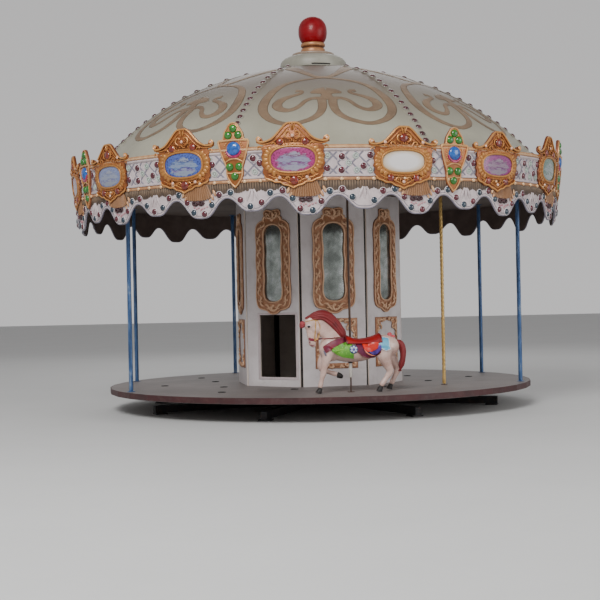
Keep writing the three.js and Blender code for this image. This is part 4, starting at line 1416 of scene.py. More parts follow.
def mirror_frame():
    """The tall carved frame with its mirror."""
    outside, opening = closed_outline(MIRROR_HALF), closed_outline(GLASS_HALF)
    base = plate("mirror_base", [outside, opening], 0.0, -0.016, 0.006)
    outer_line = [(x, -0.018, z, 0.011) for x, z in swelled(outside, 0.955, 0.985, 2.06)]
    inner_line = [(x, -0.02, z, 0.012) for x, z in swelled(opening, 1.07, 1.02, GLASS_MIDDLE)]
    edges = rods("mirror_edges", [outer_line, inner_line], 8, 3, True)
    steps = 34
    middle = between(spaced(MIRROR_HALF, steps), spaced(GLASS_HALF, steps), 0.42)
    leaf = scroll_leaf()
    places = []
    for n, (x, z, heading) in enumerate(along(middle, 0.088)):
        for side in (1, -1):
            flip = Matrix.Diagonal((side, 1, 1, 1))
            places.append(flip @ at(x, -0.012, z, 1.05, heading + (180 if n % 2 else 0)))
    leaves = repeated("mirror_leaves", leaf, places)
    opened(leaves)
    bpy.ops.mesh.normals_make_consistent(inside=False)
    closed()
    crown = [at(0, -0.018, 2.735, 1.2), at(-0.07, -0.016, 2.725, 1, -35), at(0.07, -0.016, 2.725, 1, 35),
             at(0, -0.018, 1.42, 1.1, 180)]
    crest = repeated("mirror_crest", leaf, crown)
    button = bead("mirror_button", "old_gold", (0.03, 0.02, 0.03), 12, 8)
    buttons = repeated("mirror_buttons", button, [at(0, -0.016, 2.66), at(0, -0.016, 1.455, 0.8)])
    discarded(leaf, button)
    gilt = joined("mirror_gilt", [base, edges, leaves, crest, buttons])
    coated(marked(gilt, -0.004, -0.034), "old_gold")
    glass = plate("mirror_glass", [opening], 0.0, -0.006, 0.002)
    glass.data.transform(about(0, GLASS_MIDDLE, Matrix.Diagonal((1.03, 1, 1.01, 1))))
    return joined("mirror_frame", [gilt, coated(glass, "mirror")])


def rectangle(left, right, low, high):
    return [(left, low), (right, low), (right, high), (left, high)]


def lower_frame():
    """The low rectangular frame with carved corners round a plain field."""
    half, low, high, border = LOWER_FRAME
    outer = rectangle(-half, half, low, high)
    inner = rectangle(border - half, half - border, low + border, high - border)
    base = plate("lower_base", [outer, inner], 0.0, -0.007, 0.003)
    ring = [[(x, -0.008, z, 0.006) for x, z in swelled(outer, 0.93, 0.97, LOWER_MIDDLE)],
            [(x, -0.008, z, 0.005) for x, z in swelled(inner, 1.03, 1.01, LOWER_MIDDLE)]]
    edges = drawn("lower_edges", ring, True, False, bevel_depth=1.0, bevel_resolution=1)
    corner_x, corner_z = half - 0.07, high - 0.075
    spray = ((0, 0, 1.3, 45), (-0.08, 0.02, 1.1, -80), (0.01, -0.09, 1.1, 170), (-0.06, -0.06, 1.0, 225),
             (-0.15, 0.035, 0.9, -90), (0.03, -0.17, 0.9, 180))
    corners = [(side, end) for side in (-1, 1) for end in (-1, 1)]
    places = []
    for side, end in corners:
        flip = about(0, LOWER_MIDDLE, Matrix.Diagonal((side, 1, end, 1)))
        for x, z, size, turn in spray:
            places.append(flip @ at(corner_x + x, -0.008, corner_z + z, size * 0.85, turn))
    for end in (-1, 1):
        for side in (-1, 1):
            z = LOWER_MIDDLE + end * (high - LOWER_MIDDLE - 0.03)
            places.append(at(0.07 * side, -0.004, z, 0.75, -90 * side))
    leaf = scroll_leaf()
    leaves = cleaned(repeated("corner_leaves", leaf, places))
    discarded(leaf)
    solid = []
    for side, end in corners:
        height = high if end > 0 else low
        block = [(side * (half - 0.012 + x), height + end * (z - 0.012)) for x, z in CORNER]
        solid.append(plate("corner_block", [block], -0.002, -0.012, 0.004))
    bar = rectangle(-0.25, 0.25, low + 0.03, low + 0.075)
    solid.append(plate("lower_strip", [bar], -0.002, -0.011, 0.004))
    gilt = joined("lower_frame", [base, edges, leaves, *solid])
    return shifted(coated(marked(gilt, -0.003, -0.022), "old_gold"), LOWER_SHIFT)


def panel_board(hatch):
    """One white panel of the drum; one of them has an open hatch. Its back is the drum's bare inside."""
    outlines = [rectangle(-PANEL_HALF, PANEL_HALF, PANEL_FOOT, PANEL_TOP)]
    if hatch:
        outlines.append(rectangle(*HATCH))
    board = coated(plate("panel_board", outlines, 0.025, 0.0, 0.003), "panel", "inside")
    return repainted(board, 1, lambda face: face.center.y > 0.003)


def hatch_rim():
    left, right, low, high = HATCH
    border = 0.035
    outer = rectangle(left - border, right + border, low - border, high + 0.03)
    return coated(plate("hatch_rim", [outer, rectangle(*HATCH)], 0.0, -0.006, 0.002), "wall")


def drum():
    mirror, lower = mirror_frame(), lower_frame()
    for n in range(BAYS):
        hatch = n == HATCH_PANEL
        parts = [panel_board(hatch), shifted(turned_copy(mirror, "mirror", 0), 0.03 if hatch else 0.008)]
        parts.append(hatch_rim() if hatch else turned_copy(lower, "lower", 0))
        piece = turned(shifted(joined(f"drum_dress_{n + 1}", parts), y=-DRUM_FACE), DRUM_TURN + BAY * n)
        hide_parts(f"drum_panel_{n + 1}")
        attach(piece, "turntable")
    discarded(mirror, lower)


# ---- deck, poles and posts
def round_axis(radius, angle):
    a = radians(angle)
    return radius * sin(a), -radius * cos(a)


def deck_sockets():
    """Small round foot plates of the missing poles. The first two outer seats have their poles."""
    profile = ((0, 0.3302), (0.052, 0.3302), (0.054, 0.334), (0.05, 0.338), (0.03, 0.338), (0.028, 0.3345),
               (0, 0.3345))
    socket = coated(lathe("deck_socket", profile, 16), "dark_steel")
    places = []
    for n in range(BAYS):
        for seat in (HORSE_PLACE, INNER_SEAT):
            if seat == INNER_SEAT or n > 1:
                radius, angle = seat
                places.append(Matrix.Translation((*round_axis(radius, angle + BAY * n), 0)))
    plates = repeated("deck_sockets", socket, places)
    discarded(socket)
    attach(plates, "turntable")


def twisted_pole():
    """The bare gold pole, a rope-twist tube with plain ends, over its guide rod."""
    low, high, radius, steps = 0.345, 3.3, 0.025, 190
    twist_low, twist_high, fade_length = 0.42, 3.15, 0.05
    groove, strands, pitch = 0.16, 3, 34
    deselected()
    bpy.ops.mesh.primitive_circle_add(vertices=20, radius=radius, location=(0, 0, low))
    tube = settled("gold_pole")
    opened(tube, "EDGE")
    for _ in range(steps):
        bpy.ops.mesh.extrude_region_move(TRANSFORM_OT_translate={"value": (0, 0, (high - low) / steps)})
    closed()
    for vertex in tube.data.vertices:
        z = vertex.co.z
        around = atan2(vertex.co.y, vertex.co.x)
        fade = min(1, max(0, (z - twist_low) / fade_length), max(0, (twist_high - z) / fade_length))
        ridge = radius * (1 - groove * fade * (0.5 - 0.5 * cos(strands * (around - z * pitch))))
        vertex.co.x, vertex.co.y = ridge * cos(around), ridge * sin(around)

    def at_height(height):
        return lambda edge: all(abs(tube.data.vertices[i].co.z - height) < 1e-4 for i in edge.vertices)

    opened(tube, "EDGE", at_height(high))
    bpy.ops.mesh.edge_face_add()
    closed()
    opened(tube, "EDGE", at_height(low))
    bpy.ops.mesh.extrude_region_move()
    bpy.ops.transform.resize(value=(0.5, 0.5, 1), center_override=(0, 0, low))
    bpy.ops.mesh.extrude_region_move(TRANSFORM_OT_translate={"value": (0, 0, 0.5)})
    bpy.ops.mesh.edge_face_add()
    closed()
    cleaned(tube)
    piece = standing(coated(smoothed(tube, 60), "pole_gold"), POLE_PLACE)
    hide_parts("bare_pole")
    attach(piece, "loose_pole")


def stands_at(node_name, x, y):
    low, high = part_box(node_name)
    return hypot((low[0] + high[0]) / 2 - x, (low[1] + high[1]) / 2 - y) < 0.2


def perimeter_posts():
    """Roof posts of bare tube, still wrapped in blue film, with foot and head flanges."""
    rng = random.Random(11)
    tube, flange, steps, film_low, film_high = 0.0285, 0.055, 26, 0.36, 2.95
    for n, angle in enumerate((67.5, -67.5, 112.5, -112.5, 157.5, -157.5)):
        profile = [(0, 0.3305), (flange, 0.3305), (flange, 0.338), (tube, 0.34)]
        for k in range(steps + 1):
            profile.append((tube + rng.uniform(0, 0.0012), film_low + (film_high - film_low) * k / steps))
        profile += [(tube, 2.974), (flange, 2.976), (flange, 2.9845), (0, 2.9845)]
        x, y = round_axis(2.93, angle)
        piece = shifted(coated(smoothed(lathe(f"post_film_{n + 1}", profile, 20), 50), "film"), x, y)
        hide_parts(*[name for name in frame["nodes"]
                             if name.startswith("perimeter_post") and stands_at(name, x, y)])
        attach(piece, "turntable")


# ---- horse
def lump(name, x, z, size, tilt=0, y=0):
    """A rounded mass of the horse, tilted in its upright middle plane."""
    deselected()
    bpy.ops.mesh.primitive_uv_sphere_add(segments=24, ring_count=16, radius=1, location=(x, y, z), scale=size,
                                         rotation=(0, radians(tilt), 0))
    return settled(name)


# A name, the middle's x and z, the half sizes, the tilt and the middle's y
MASSES = (
    ("barrel", 0.03, 0.858, (0.345, 0.138, 0.142)),
    ("chest", -0.25, 0.9, (0.162, 0.125, 0.17)),
    ("shoulder", -0.2, 0.925, (0.15, 0.135, 0.16)),
    ("rump", 0.44, 0.908, (0.21, 0.146, 0.15)),
    ("croup", 0.34, 0.92, (0.18, 0.13, 0.128)),
    ("neck_foot", -0.21, 1.04, (0.145, 0.085, 0.185), -25),
    ("neck_middle", -0.285, 1.155, (0.145, 0.07, 0.16), -35),
    ("neck_top", -0.385, 1.25, (0.13, 0.062, 0.092), -10),
    ("skull", -0.495, 1.235, (0.1, 0.066, 0.092), 12),
    ("brow", -0.53, 1.2, (0.065, 0.058, 0.07)),
    ("cheek", -0.452, 1.165, (0.068, 0.06, 0.082)),
    ("nose", -0.52, 1.085, (0.045, 0.04, 0.14), -10),
    ("jaw", -0.472, 1.075, (0.045, 0.04, 0.1), -10),
    ("muzzle", -0.497, 0.98, (0.05, 0.045, 0.052)),
    ("lips", -0.482, 0.945, (0.038, 0.035, 0.03)),
    ("near_brow_bone", -0.535, 1.2, (0.028, 0.016, 0.014), 0, -0.05),
    ("far_brow_bone", -0.535, 1.2, (0.028, 0.016, 0.014), 0, 0.05),
)
LEG_SIDE = 0.085


def horse_trunk():
    """The body, neck, head and legs, grown together and smoothed."""
    legs = [
        level(-LEG_SIDE, [(-0.27, 0.9, 0.085), (-0.32, 0.79, 0.07), (-0.36, 0.67, 0.046),
                          (-0.375, 0.59, 0.042), (-0.398, 0.5, 0.029), (-0.415, 0.435, 0.034),
                          (-0.425, 0.405, 0.03)]),
        level(LEG_SIDE, [(-0.26, 0.9, 0.085), (-0.32, 0.8, 0.07), (-0.375, 0.7, 0.047), (-0.37, 0.645, 0.043),
                         (-0.28, 0.595, 0.03), (-0.19, 0.565, 0.034), (-0.165, 0.56, 0.03)]),
        level(-LEG_SIDE, [(0.44, 0.9, 0.12), (0.43, 0.79, 0.1), (0.47, 0.67, 0.062), (0.5, 0.59, 0.047),
                          (0.445, 0.5, 0.033), (0.395, 0.43, 0.035), (0.375, 0.405, 0.031)]),
        level(LEG_SIDE, [(0.5, 0.9, 0.115), (0.53, 0.79, 0.095), (0.6, 0.68, 0.06), (0.64, 0.61, 0.047),
                         (0.6, 0.51, 0.033), (0.565, 0.44, 0.035), (0.55, 0.415, 0.031)]),
    ]
    ears = [[(-0.43, y, 1.285, 0.022), (-0.418, y * 1.2, 1.312, 0.018), (-0.412, y * 1.35, 1.336, 0.009)]
            for y in (-0.04, 0.04)]
    masses = [lump(*mass) for mass in MASSES]
    body = joined("horse_dress", [*masses, rods("limbs", legs, 10, 4), rods("ears", ears, 8, 3)])
    modified(body, "REMESH", mode="VOXEL", voxel_size=0.0085)
    modified(body, "SMOOTH", factor=0.6, iterations=6)
    return smoothed(body, 180)


def bored(body, radius, low, high):
    """Leaves a clear round passage for the pole that the horse stands on."""
    middle = (0, 0, (low + high) / 2)
    deselected()
    bpy.ops.mesh.primitive_cylinder_add(vertices=32, radius=radius, depth=high - low, location=middle)
    drill = settled("drill")
    modified(body, "BOOLEAN", object=drill, operation="DIFFERENCE", solver="EXACT")
    discarded(drill)
    return body


def far_side(piece):
    """The same piece on the horse's other flank."""
    copy = copied(piece, piece.name + "_far")
    copy.data.transform(Matrix.Scale(-1, 4, (0, 1, 0)))
    copy.data.flip_normals()
    return copy


FLANK_START = -0.4  # where a cloth starts before it is moved inwards onto the body


def folded(piece, body, lift):
    """Lays the points that pass the back, the belly or the chest onto the body beside those that met it."""

    def missed(vertex):
        return vertex.co.y <= FLANK_START + 0.1

    met = [vertex.co.copy() for vertex in piece.data.vertices if not missed(vertex)]
    for vertex in filter(missed, piece.data.vertices):
        x, _, z = vertex.co
        near = min(met, key=lambda point: hypot(point.x - x, point.z - z))
        inward = min(near.y + hypot(near.x - x, near.z - z), -0.005)
        _, point, normal, _ = body.closest_point_on_mesh(Vector((x, inward, z)))
        vertex.co = point + normal * lift


def flank(name, body, top, bottom, paint, lift, trim=None):
    """A cloth or leather piece laid on the horse's near flank between two lines of (x, z)."""
    columns, rows = 26, 10
    width = columns + 1
    uppers, lowers = spaced(top, columns), spaced(bottom, columns)
    piece = strip(name, [(n / rows, 0.0) for n in range(rows + 1)], columns, 0, columns)
    for vertex in piece.data.vertices:
        n = min(round(vertex.co.x), columns)
        share = vertex.co.z
        (x0, z0), (x1, z1) = lowers[n], uppers[n]
        vertex.co = (x0 + (x1 - x0) * share, FLANK_START, z0 + (z1 - z0) * share)
    modified(piece, "SHRINKWRAP", target=body, wrap_method="PROJECT", use_project_y=True,
             use_positive_direction=True, use_negative_direction=False, offset=lift)
    folded(piece, body, lift)
    modified(piece, "SMOOTH", factor=0.5, iterations=2, use_x=False, use_z=False)
    points = [vertex.co.copy() for vertex in piece.data.vertices]
    last = width * rows
    border = [*range(width), *range(2 * width - 1, last + width, width),
              *reversed(range(last, last + columns)), *reversed(range(width, last, width))]
    modified(piece, "SOLIDIFY", thickness=lift, offset=0 if trim else 1)
    coated(smoothed(piece, 60), paint)
    parts = [piece]
    if trim:
        edge = [(points[i].x, points[i].y - 0.001, points[i].z, 0.006) for i in border]
        parts.append(coated(rods(name + "_trim", [edge], 6, 1, True), trim))
    near = joined(name, parts)
    return joined(name, [near, far_side(near)])


def on_flank(body, x, z, proud):
    """The point of the near flank at a place seen from the side."""
    hit, point, normal, _ = body.ray_cast(Vector((x, -1, z)), Vector((0, 1, 0)))
    if not hit:
        _, point, normal, _ = body.closest_point_on_mesh(Vector((x, -0.1, z)))
    return point + normal * proud


def flank_line(name, body, lines, paint, proud):
    """Raised lines of (x, z, radius) that follow the near flank, and the same on the far one."""
    paths = [[(*on_flank(body, x, z, proud), r) for x, z, r in line] for line in lines]
    near = coated(rods(name, paths, 6, 3), paint)
    return joined(name, [near, far_side(near)])


MANE_SPREAD = 1.2  # its width against its height over the crest


def mane():
    """Carved locks that roll over the crest from the poll to the withers, and a short forelock."""
    spine = [
        (-0.535, 1.294), (-0.456, 1.306), (-0.366, 1.312), (-0.27, 1.256), (-0.187, 1.168), (-0.127, 1.078),
        (-0.098, 1.018),
    ]
    thick = (0.02, 0.05, 0.063, 0.065, 0.063, 0.056, 0.036)
    locks = []
    for n, around in enumerate(range(-112, 113, 28)):
        a = radians(around)
        lock = []
        for i, (x, z) in enumerate(spine):
            before, after = spine[max(i - 1, 0)], spine[min(i + 1, len(spine) - 1)]
            run = Vector((after[0] - before[0], after[1] - before[1])).normalized()
            reach = thick[i] * (1 + 0.1 * sin(2.4 * i + 1.9 * n))
            lift = Vector((-run.y, run.x)) * reach * cos(a)
            lock.append((x + lift.x, MANE_SPREAD * reach * sin(a), z + lift.y, 0.34 * thick[i] + 0.003))
        locks.append(lock)
    for y in (-0.03, 0, 0.03):
        locks.append([(-0.49, y, 1.325, 0.015), (-0.54, y * 1.1, 1.31, 0.014), (-0.578, y, 1.288, 0.008)])
    core = rods("mane_core", [[(x, 0, z, 0.86 * r) for (x, z), r in zip(spine, thick)]], 12, 4)
    whole = joined("mane", [rods("mane_locks", locks, 8, 4), core])
    return coated(shaded_locks(whole, spine, thick), "mane")


def shaded_locks(piece, spine, thick):
    """Marks the grooves between the locks, by how far each point is from the crest's line."""
    line = list(zip(spaced(spine, 60), spaced([(r, 0) for r in thick], 60)))
    heights = []
    for vertex in piece.data.vertices:
        x, y, z = vertex.co
        away, full = min((hypot(x - sx, z - sz), r) for (sx, sz), (r, _) in line)
        heights.append((hypot(away, y / MANE_SPREAD) / max(full, 0.02) - 0.95) / 0.45)
    return grooved(piece, heights)


def horse_tail():
    """A long carved tail that falls behind the rump in a few locks."""
    locks = []
    for y, out in ((-0.028, 0.0), (0.028, 0.0), (0, 0.016), (0, -0.014), (-0.018, 0.022), (0.018, 0.022)):
        locks.append([(0.575, y * 0.5, 0.975, 0.02), (0.645 + out, y, 0.955, 0.026),
                      (0.685 + out, y * 1.1, 0.87, 0.026), (0.69 + out * 0.6, y * 1.2, 0.76, 0.024),
                      (0.665 + out, y, 0.66, 0.018), (0.655 - out, y * 0.4, 0.58, 0.006)])
    tail = rods("tail", locks, 8, 4)
    # Painted shade between the locks and a painted highlight on their outer sides, through the mane paint
    return coated(grooved(tail, [abs(v.co.y) / 0.04 + 0.3 for v in tail.data.vertices]), "mane")


def hooves():
    """Black hooves with a soft fetlock ring, three on the deck's side and one tucked up."""
    radius, height, taper = 0.04, 0.058, 0.76
    feet = []
    for x, side, z, lean in ((-0.436, -1, 0.362, 20), (-0.128, 1, 0.545, 105), (0.358, -1, 0.362, 16),
                             (0.53, 1, 0.376, 14)):
        deselected()
        bpy.ops.mesh.primitive_cylinder_add(vertices=20, radius=radius, depth=height)
        foot = named("hoof")
        opened(foot, "FACE", lambda face: face.normal.z > 0.9)
        bpy.ops.transform.resize(value=(taper, taper, 1), center_override=(0, 0, height / 2))
        bpy.ops.transform.translate(value=(0.008, 0, 0))
        bpy.ops.mesh.inset(thickness=0.006)
        bpy.ops.mesh.extrude_region_move(TRANSFORM_OT_translate={"value": (0.002, 0, 0.014)})
        closed()
        modified(foot, "BEVEL", width=0.006, segments=2, limit_method="ANGLE", angle_limit=0.6)
        tilt = rotation(lean, "Y")
        foot.data.transform(Matrix.Translation((x, side * LEG_SIDE, z)) @ tilt)
        feet.append(smoothed(foot, 40))
    return coated(joined("hooves", feet), "hoof")


def saddle():
    """The seat with its raised pommel and cantle, rolled over the back."""
    stations = [(-0.075, 1.035), (-0.045, 1.052), (-0.01, 1.04), (0.04, 1.018), (0.11, 1.011), (0.2, 1.018),
                (0.27, 1.035), (0.325, 1.053), (0.365, 1.074), (0.38, 1.07)]
    columns, rows, base = 40, 24, 0.952
    seat = strip("saddle_seat", [(n / rows, 0.0) for n in range(rows + 1)], columns, 0, columns)
    line = spaced(stations, columns)
    for vertex in seat.data.vertices:
        x, top = line[min(round(vertex.co.x), columns)]
        t = radians(-86 + 172 * vertex.co.z)
        vertex.co = (x + 0.012 * (1 - cos(t)), 0.138 * sin(t), base + (top - base) * cos(t))
    modified(seat, "SOLIDIFY", thickness=0.014, offset=0)
    modified(seat, "BEVEL", width=0.004, segments=2, limit_method="ANGLE", angle_limit=1.0)
    coated(smoothed(cleaned(seat), 60), "saddle")
    arc = [radians(a) for a in range(-84, 85, 21)]
    edges = [[(x + 0.012 * (1 - cos(t)), 0.143 * sin(t), base + (top - 0.949) * cos(t), 0.01)
              for t in arc] for x, top in (stations[0], stations[-1])]
    rolls = coated(rods("saddle_rolls", edges, 8, 3), "saddle_dark")
    return joined("saddle_dress", [seat, rolls])


# A name, the upper line and the lower one, paint, thickness and the paint of the trim
CLOTHS = (
    ("collar_band", [(-0.37, 0.925), (-0.28, 0.985), (-0.2, 1.018), (-0.12, 1.035), (-0.055, 1.03)],
     [(-0.35, 0.85), (-0.25, 0.91), (-0.17, 0.952), (-0.11, 0.972), (-0.055, 0.972)],
     "plum", 0.01, "saddle_dark"),
    ("leaf_cloth", [(-0.275, 0.883), (-0.2, 0.936), (-0.1, 0.975), (0.0, 0.965)],
     [(-0.275, 0.868), (-0.205, 0.825), (-0.12, 0.787), (0.02, 0.766)], "leaf_green", 0.007),
    ("flap", [(0.05, 0.975), (0.2, 0.972), (0.365, 0.99)],
     [(0.06, 0.86), (0.13, 0.795), (0.22, 0.768), (0.31, 0.772), (0.36, 0.84)],
     "plum_dark", 0.008, "saddle_dark"),
    ("blue_patch", [(0.21, 0.9), (0.28, 0.915), (0.376, 0.935)],
     [(0.215, 0.845), (0.27, 0.812), (0.33, 0.818), (0.37, 0.875)], "violet_blue", 0.014),
    ("red_panel", [(0.125, 0.962), (0.22, 0.962), (0.342, 0.968)],
     [(0.145, 0.89), (0.18, 0.85), (0.25, 0.85), (0.335, 0.893)], "scarlet", 0.018),
    ("rump_cloth", [(0.34, 1.01), (0.38, 1.025), (0.43, 1.03), (0.485, 1.015)],
     [(0.345, 0.95), (0.375, 0.888), (0.425, 0.858), (0.485, 0.878)], "cyan", 0.009, "collar"),
)


def leaf_ribs(body):
    """The leaf's middle rib and its side veins, up and down from it."""
    spine = 0.876
    ribs = [[(-0.235, 0.87, 0.004), (-0.12, 0.885, 0.007), (0.01, 0.875, 0.004)]]
    veins = ((-0.19, 0.93, 0.832), (-0.14, 0.955, 0.812), (-0.09, 0.968, 0.795), (-0.04, 0.968, 0.785))
    for x, up, down in veins:
        for end, bend, reach in ((up, 0.012, 0.035), (down, 0.014, 0.032)):
            ribs.append([(x, spine, 0.005), (x + bend, (spine + end) / 2, 0.006), (x + reach, end, 0.003)])
    return flank_line("leaf_ribs", body, ribs, "leaf_light", 0.009)


def flower(body):
    """An enamel flower of six petals on a dark round ground, on both flanks."""
    ground = bead("flower_ground", "navy_enamel", (0.055, 0.01, 0.055), 16, 8)
    petal = bead("petal", "petal_white", (0.02, 0.009, 0.014))
    heart = bead("flower_heart", "violet_blue", (0.017, 0.012, 0.017))
    middle = on_flank(body, 0.015, 0.882, 0.012)
    places = []
    for turn in range(0, 360, 60):
        t = radians(turn)
        x, z = middle.x + 0.03 * sin(t), middle.z + 0.03 * cos(t)
        places.append(at(x, middle.y - 0.009, z, 1, turn + 90))
    near = joined("flower", [
        repeated("flower_ground", ground, [at(*middle)]),
        repeated("flower_petals", petal, places),
        repeated("flower_heart", heart, [at(middle.x, middle.y - 0.012, middle.z)]),
    ])
    discarded(ground, petal, heart)
    return [near, far_side(near)]


def tack(body):
    """What the horse wears on its body, apart from the saddle."""
    curve = [(0.142, 0.945, 0.006), (0.15, 0.89, 0.008), (0.172, 0.852, 0.01), (0.224, 0.818, 0.009),
             (0.3, 0.806, 0.005)]
    scroll = [(0.17, 0.945, 0.005), (0.178, 0.91, 0.008), (0.2, 0.884, 0.008), (0.228, 0.9, 0.007),
              (0.218, 0.925, 0.005)]
    tassel = [(-0.358, 0.868, 0.012), (-0.35, 0.84, 0.016), (-0.345, 0.81, 0.008)]
    rose = bead("rose", "rose", (0.03, 0.026, 0.024))
    top_roses = ((0, 1.062, 1.1), (-0.03, 1.045, 0.9), (0.03, 1.045, 0.9))
    roses = [at(0.525, y, z, size) for y, z, size in top_roses]
    roses += [at(0.57, y, 1.035, 0.8) for y in (-0.02, 0.02)]
    pieces = [
        *[flank(name, body, *rest) for name, *rest in CLOTHS],
        leaf_ribs(body),
        flank_line("flap_curve", body, [curve], "salmon", 0.024),
        flank_line("panel_scroll", body, [scroll], "salmon", 0.026),
        *flower(body),
        flank_line("tassel", body, [tassel], "slate_cloth", 0.008),
        repeated("roses", rose, roses),
    ]
    discarded(rose)
    return pieces


def face(body):
    """The eyes, the nostrils and the bosses of the straps, on both sides."""
    eye = bead("eye", "black", (0.017, 0.011, 0.014), 12, 8)
    nostril = bead("nostril", "plum_dark", (0.011, 0.006, 0.016), 10, 6)
    boss = bead("boss", "trim_gold", (0.017, 0.01, 0.017), 12, 8)
    bosses = [at(*on_flank(body, x, z, 0.006)) for x, z in ((-0.457, 1.268), (-0.468, 1.01), (-0.44, 1.02))]
    near = joined("face", [
        repeated("eyes", eye, [at(*on_flank(body, -0.545, 1.185, 0.0))]),
        repeated("nostrils", nostril, [at(*on_flank(body, -0.53, 0.985, 0.0), 1, -25)]),
        repeated("bosses", boss, bosses),
    ])
    discarded(eye, nostril, boss)
    return [near, far_side(near)]


def plume():
    """The red plume on the brow: a core in a ring of nine tufts."""
    tufts = [[(-0.585, 0, 1.222, 0.014), (-0.612, 0, 1.214, 0.026), (-0.64, 0, 1.207, 0.014)]]
    for turn in range(0, 360, 40):
        side, up = sin(radians(turn)), cos(radians(turn))
        tufts.append([(-0.59, 0, 1.224, 0.011), (-0.608, 0.026 * side, 1.216 + 0.028 * up, 0.015),
                      (-0.636, 0.03 * side, 1.208 + 0.031 * up, 0.013),
                      (-0.648, 0.012 * side, 1.205 + 0.012 * up, 0.01)])
    return coated(rods("plume", tufts, 8, 3), "plume")


def reins(body):
    """From the bit along the neck, close to it, to the pommel."""
    thick = 0.006
    rein = [(-0.46, -0.065, 1.0, thick), (-0.42, -0.085, 1.02, thick)]
    for x, z in ((-0.34, 1.028), (-0.26, 1.034), (-0.18, 1.04)):
        rein.append((x, on_flank(body, x, z, 0.004).y - 0.016, z, thick))
    rein += [(-0.11, -0.09, 1.05, thick), (-0.05, -0.075, 1.06, thick)]
    lines = [rein, [(x, -y, z, r) for x, y, z, r in rein]]
    return coated(rods("reins", lines, 6, 4), "saddle_dark")


def bridle(body):
    """Everything on the head, and the reins."""
    straps = [
        [(-0.452, 1.285, 0.008), (-0.458, 1.2, 0.009), (-0.463, 1.1, 0.009), (-0.47, 1.01, 0.009)],
        [(-0.58, 1.25, 0.006), (-0.53, 1.262, 0.007), (-0.46, 1.272, 0.007)],
        [(-0.435, 1.27, 0.006), (-0.4, 1.19, 0.006), (-0.405, 1.1, 0.006), (-0.44, 1.02, 0.006)],
    ]
    noseband = [(-0.556, 1.035, 0.012), (-0.53, 1.026, 0.018), (-0.5, 1.016, 0.02), (-0.468, 1.008, 0.015)]
    lip = [(-0.522, 0.95, 0.004), (-0.5, 0.942, 0.006), (-0.472, 0.95, 0.004)]
    lids = [(-0.572, 1.187, 0.004), (-0.553, 1.204, 0.006), (-0.528, 1.202, 0.006), (-0.515, 1.188, 0.004)]
    return [
        flank_line("bridle", body, straps, "trim_gold", 0.002),
        flank_line("noseband", body, [noseband], "plum", 0.0),
        flank_line("mouth", body, [lip], "plum_dark", 0.0),
        flank_line("lids", body, [lids], "collar", 0.004),
        *face(body),
        plume(),
        reins(body),
    ]


def horse():
    body = horse_trunk()
    seat = saddle()
    dressed = [*tack(body), *bridle(body)]
    coated(bored(body, radius=0.0255, low=0.5, high=1.3), "horse_white")
    coat = joined("horse_dress", [body, mane(), horse_tail(), hooves(), *dressed])
    for piece, slot, node_name in (
        (coat, "horse_paint", "horse_body"),
        (seat, "saddle_paint", "horse_saddle"),
    ):
        standing(piece, HORSE_PLACE)
        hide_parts(node_name)
        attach(piece, "horse")


def horse_pole():
    """A brown rod above the horse; a white tube with a dark collar below it slides on the guide."""
    profile = (
        (0.0125, 0.5205), (0.02, 0.5205), (0.0222, 0.524), (0.0225, 0.53), (0.0225, 0.7), (0.027, 0.703),
        (0.0275, 0.712), (0.027, 0.721), (0.0225, 0.724), (0.0225, 0.757), (0.0215, 0.7595), (0.015, 0.76),
        (0.015, 1.2), (0.0155, 1.6), (0.015, 2.2), (0.015, 3.2995), (0.006, 3.2998),
    )
    pole = coated(lathe("horse_pole_dress", profile, 24), "rod", "tube", "black")
    repainted(pole, 1, lambda face: face.center.z < 0.76)
    repainted(pole, 2, lambda face: 0.7 < face.center.z < 0.724)
    piece = standing(pole, HORSE_PLACE)
    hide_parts("horse_pole")
    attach(piece, "horse")


# ---- stage, light and camera
def stage():
    deselected()
    bpy.ops.mesh.primitive_plane_add(size=160)
    floor = coated(named("floor"), "floor")


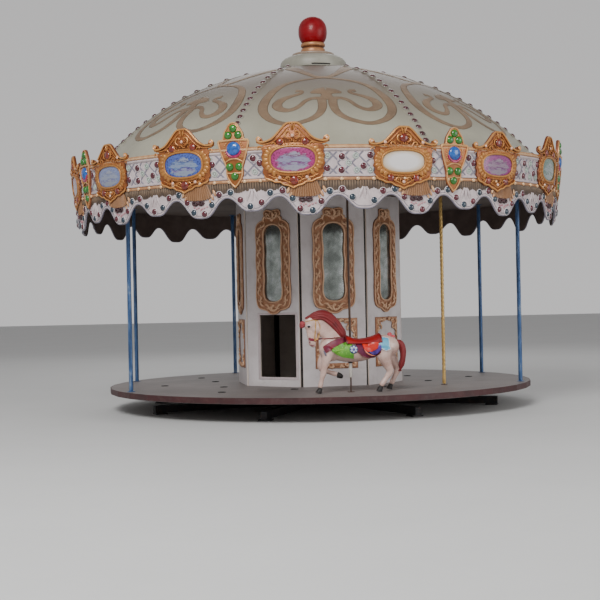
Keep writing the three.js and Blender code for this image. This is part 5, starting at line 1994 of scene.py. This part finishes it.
def studio_light():
    """A soft sky, paler towards the horizon, and three soft lamps that face the object's middle."""
    world = bpy.data.worlds.new("studio")
    bpy.context.scene.world = world
    world.use_nodes = True
    tree = world.node_tree
    view = node(tree, "TexCoord").outputs["Generated"]
    height = node(tree, "SeparateXYZ", in_Vector=view).outputs[2]
    greys = [(0.0, (0.66, 0.65, 0.65)), (0.25, (0.6, 0.59, 0.59)), (1.0, (0.2, 0.2, 0.21))]
    tree.links.new(ramp(tree, height, greys), tree.nodes["Background"].inputs[0])
    for name, place, size, power in (
        ("key", (-6, -16, 12.5), 7, 3100),
        ("fill", (14, -11, 5), 9, 900),
        ("back", (2, 14, 12), 10, 500),
    ):
        light = bpy.data.lights.new(name, "AREA")
        light.size, light.energy = size, power
        lamp = linked(name, light)
        lamp.location = place
        lamp.rotation_euler = (Vector((0, 0, 2.5)) - lamp.location).to_track_quat("-Z", "Y").to_euler()


def camera():
    data = bpy.data.cameras.new("camera")
    data.lens, data.sensor_width = 73.85, 36
    data.clip_end = 400
    view = linked("camera", data)
    heading, pitch, roll = (radians(a) for a in (-5.533, 0.043, -1.178))
    turn = Matrix.Rotation(heading, 4, "Z") @ Matrix.Rotation(pi / 2 + pitch, 4, "X")
    view.rotation_euler = (turn @ Matrix.Rotation(roll, 4, "Z")).to_euler()
    view.location = (-2.012, -18.004, 1.518)
    bpy.context.scene.camera = view


camera()
stage()
studio_light()
canopy()
dome()
finial()
drum()
deck_sockets()
twisted_pole()
perimeter_posts()
horse()
horse_pole()

SLOT_PAINTS = {
    "dark_steel": "dark_steel",
    "deck_plate": "deck",
    "deck_rim_paint": "rim",
    "drum_panel": "panel",
    "drum_post": "black",
    "ceiling": "ceiling",
    "filmed_steel": "film",
    "gold": "pole_gold",
    "rod_steel": "rod",
    "horse_paint": "collar",
    "saddle_paint": "garnet",
}
node_slots = {part["node"]: part["material_slot"] for part in frame["record"]["subparts"]}
for name, piece in frame["nodes"].items():
    paint = SLOT_PAINTS.get(node_slots.get(name))
    if paint:
        for slot in piece.material_slots:
            slot.material = PAINTS[paint]
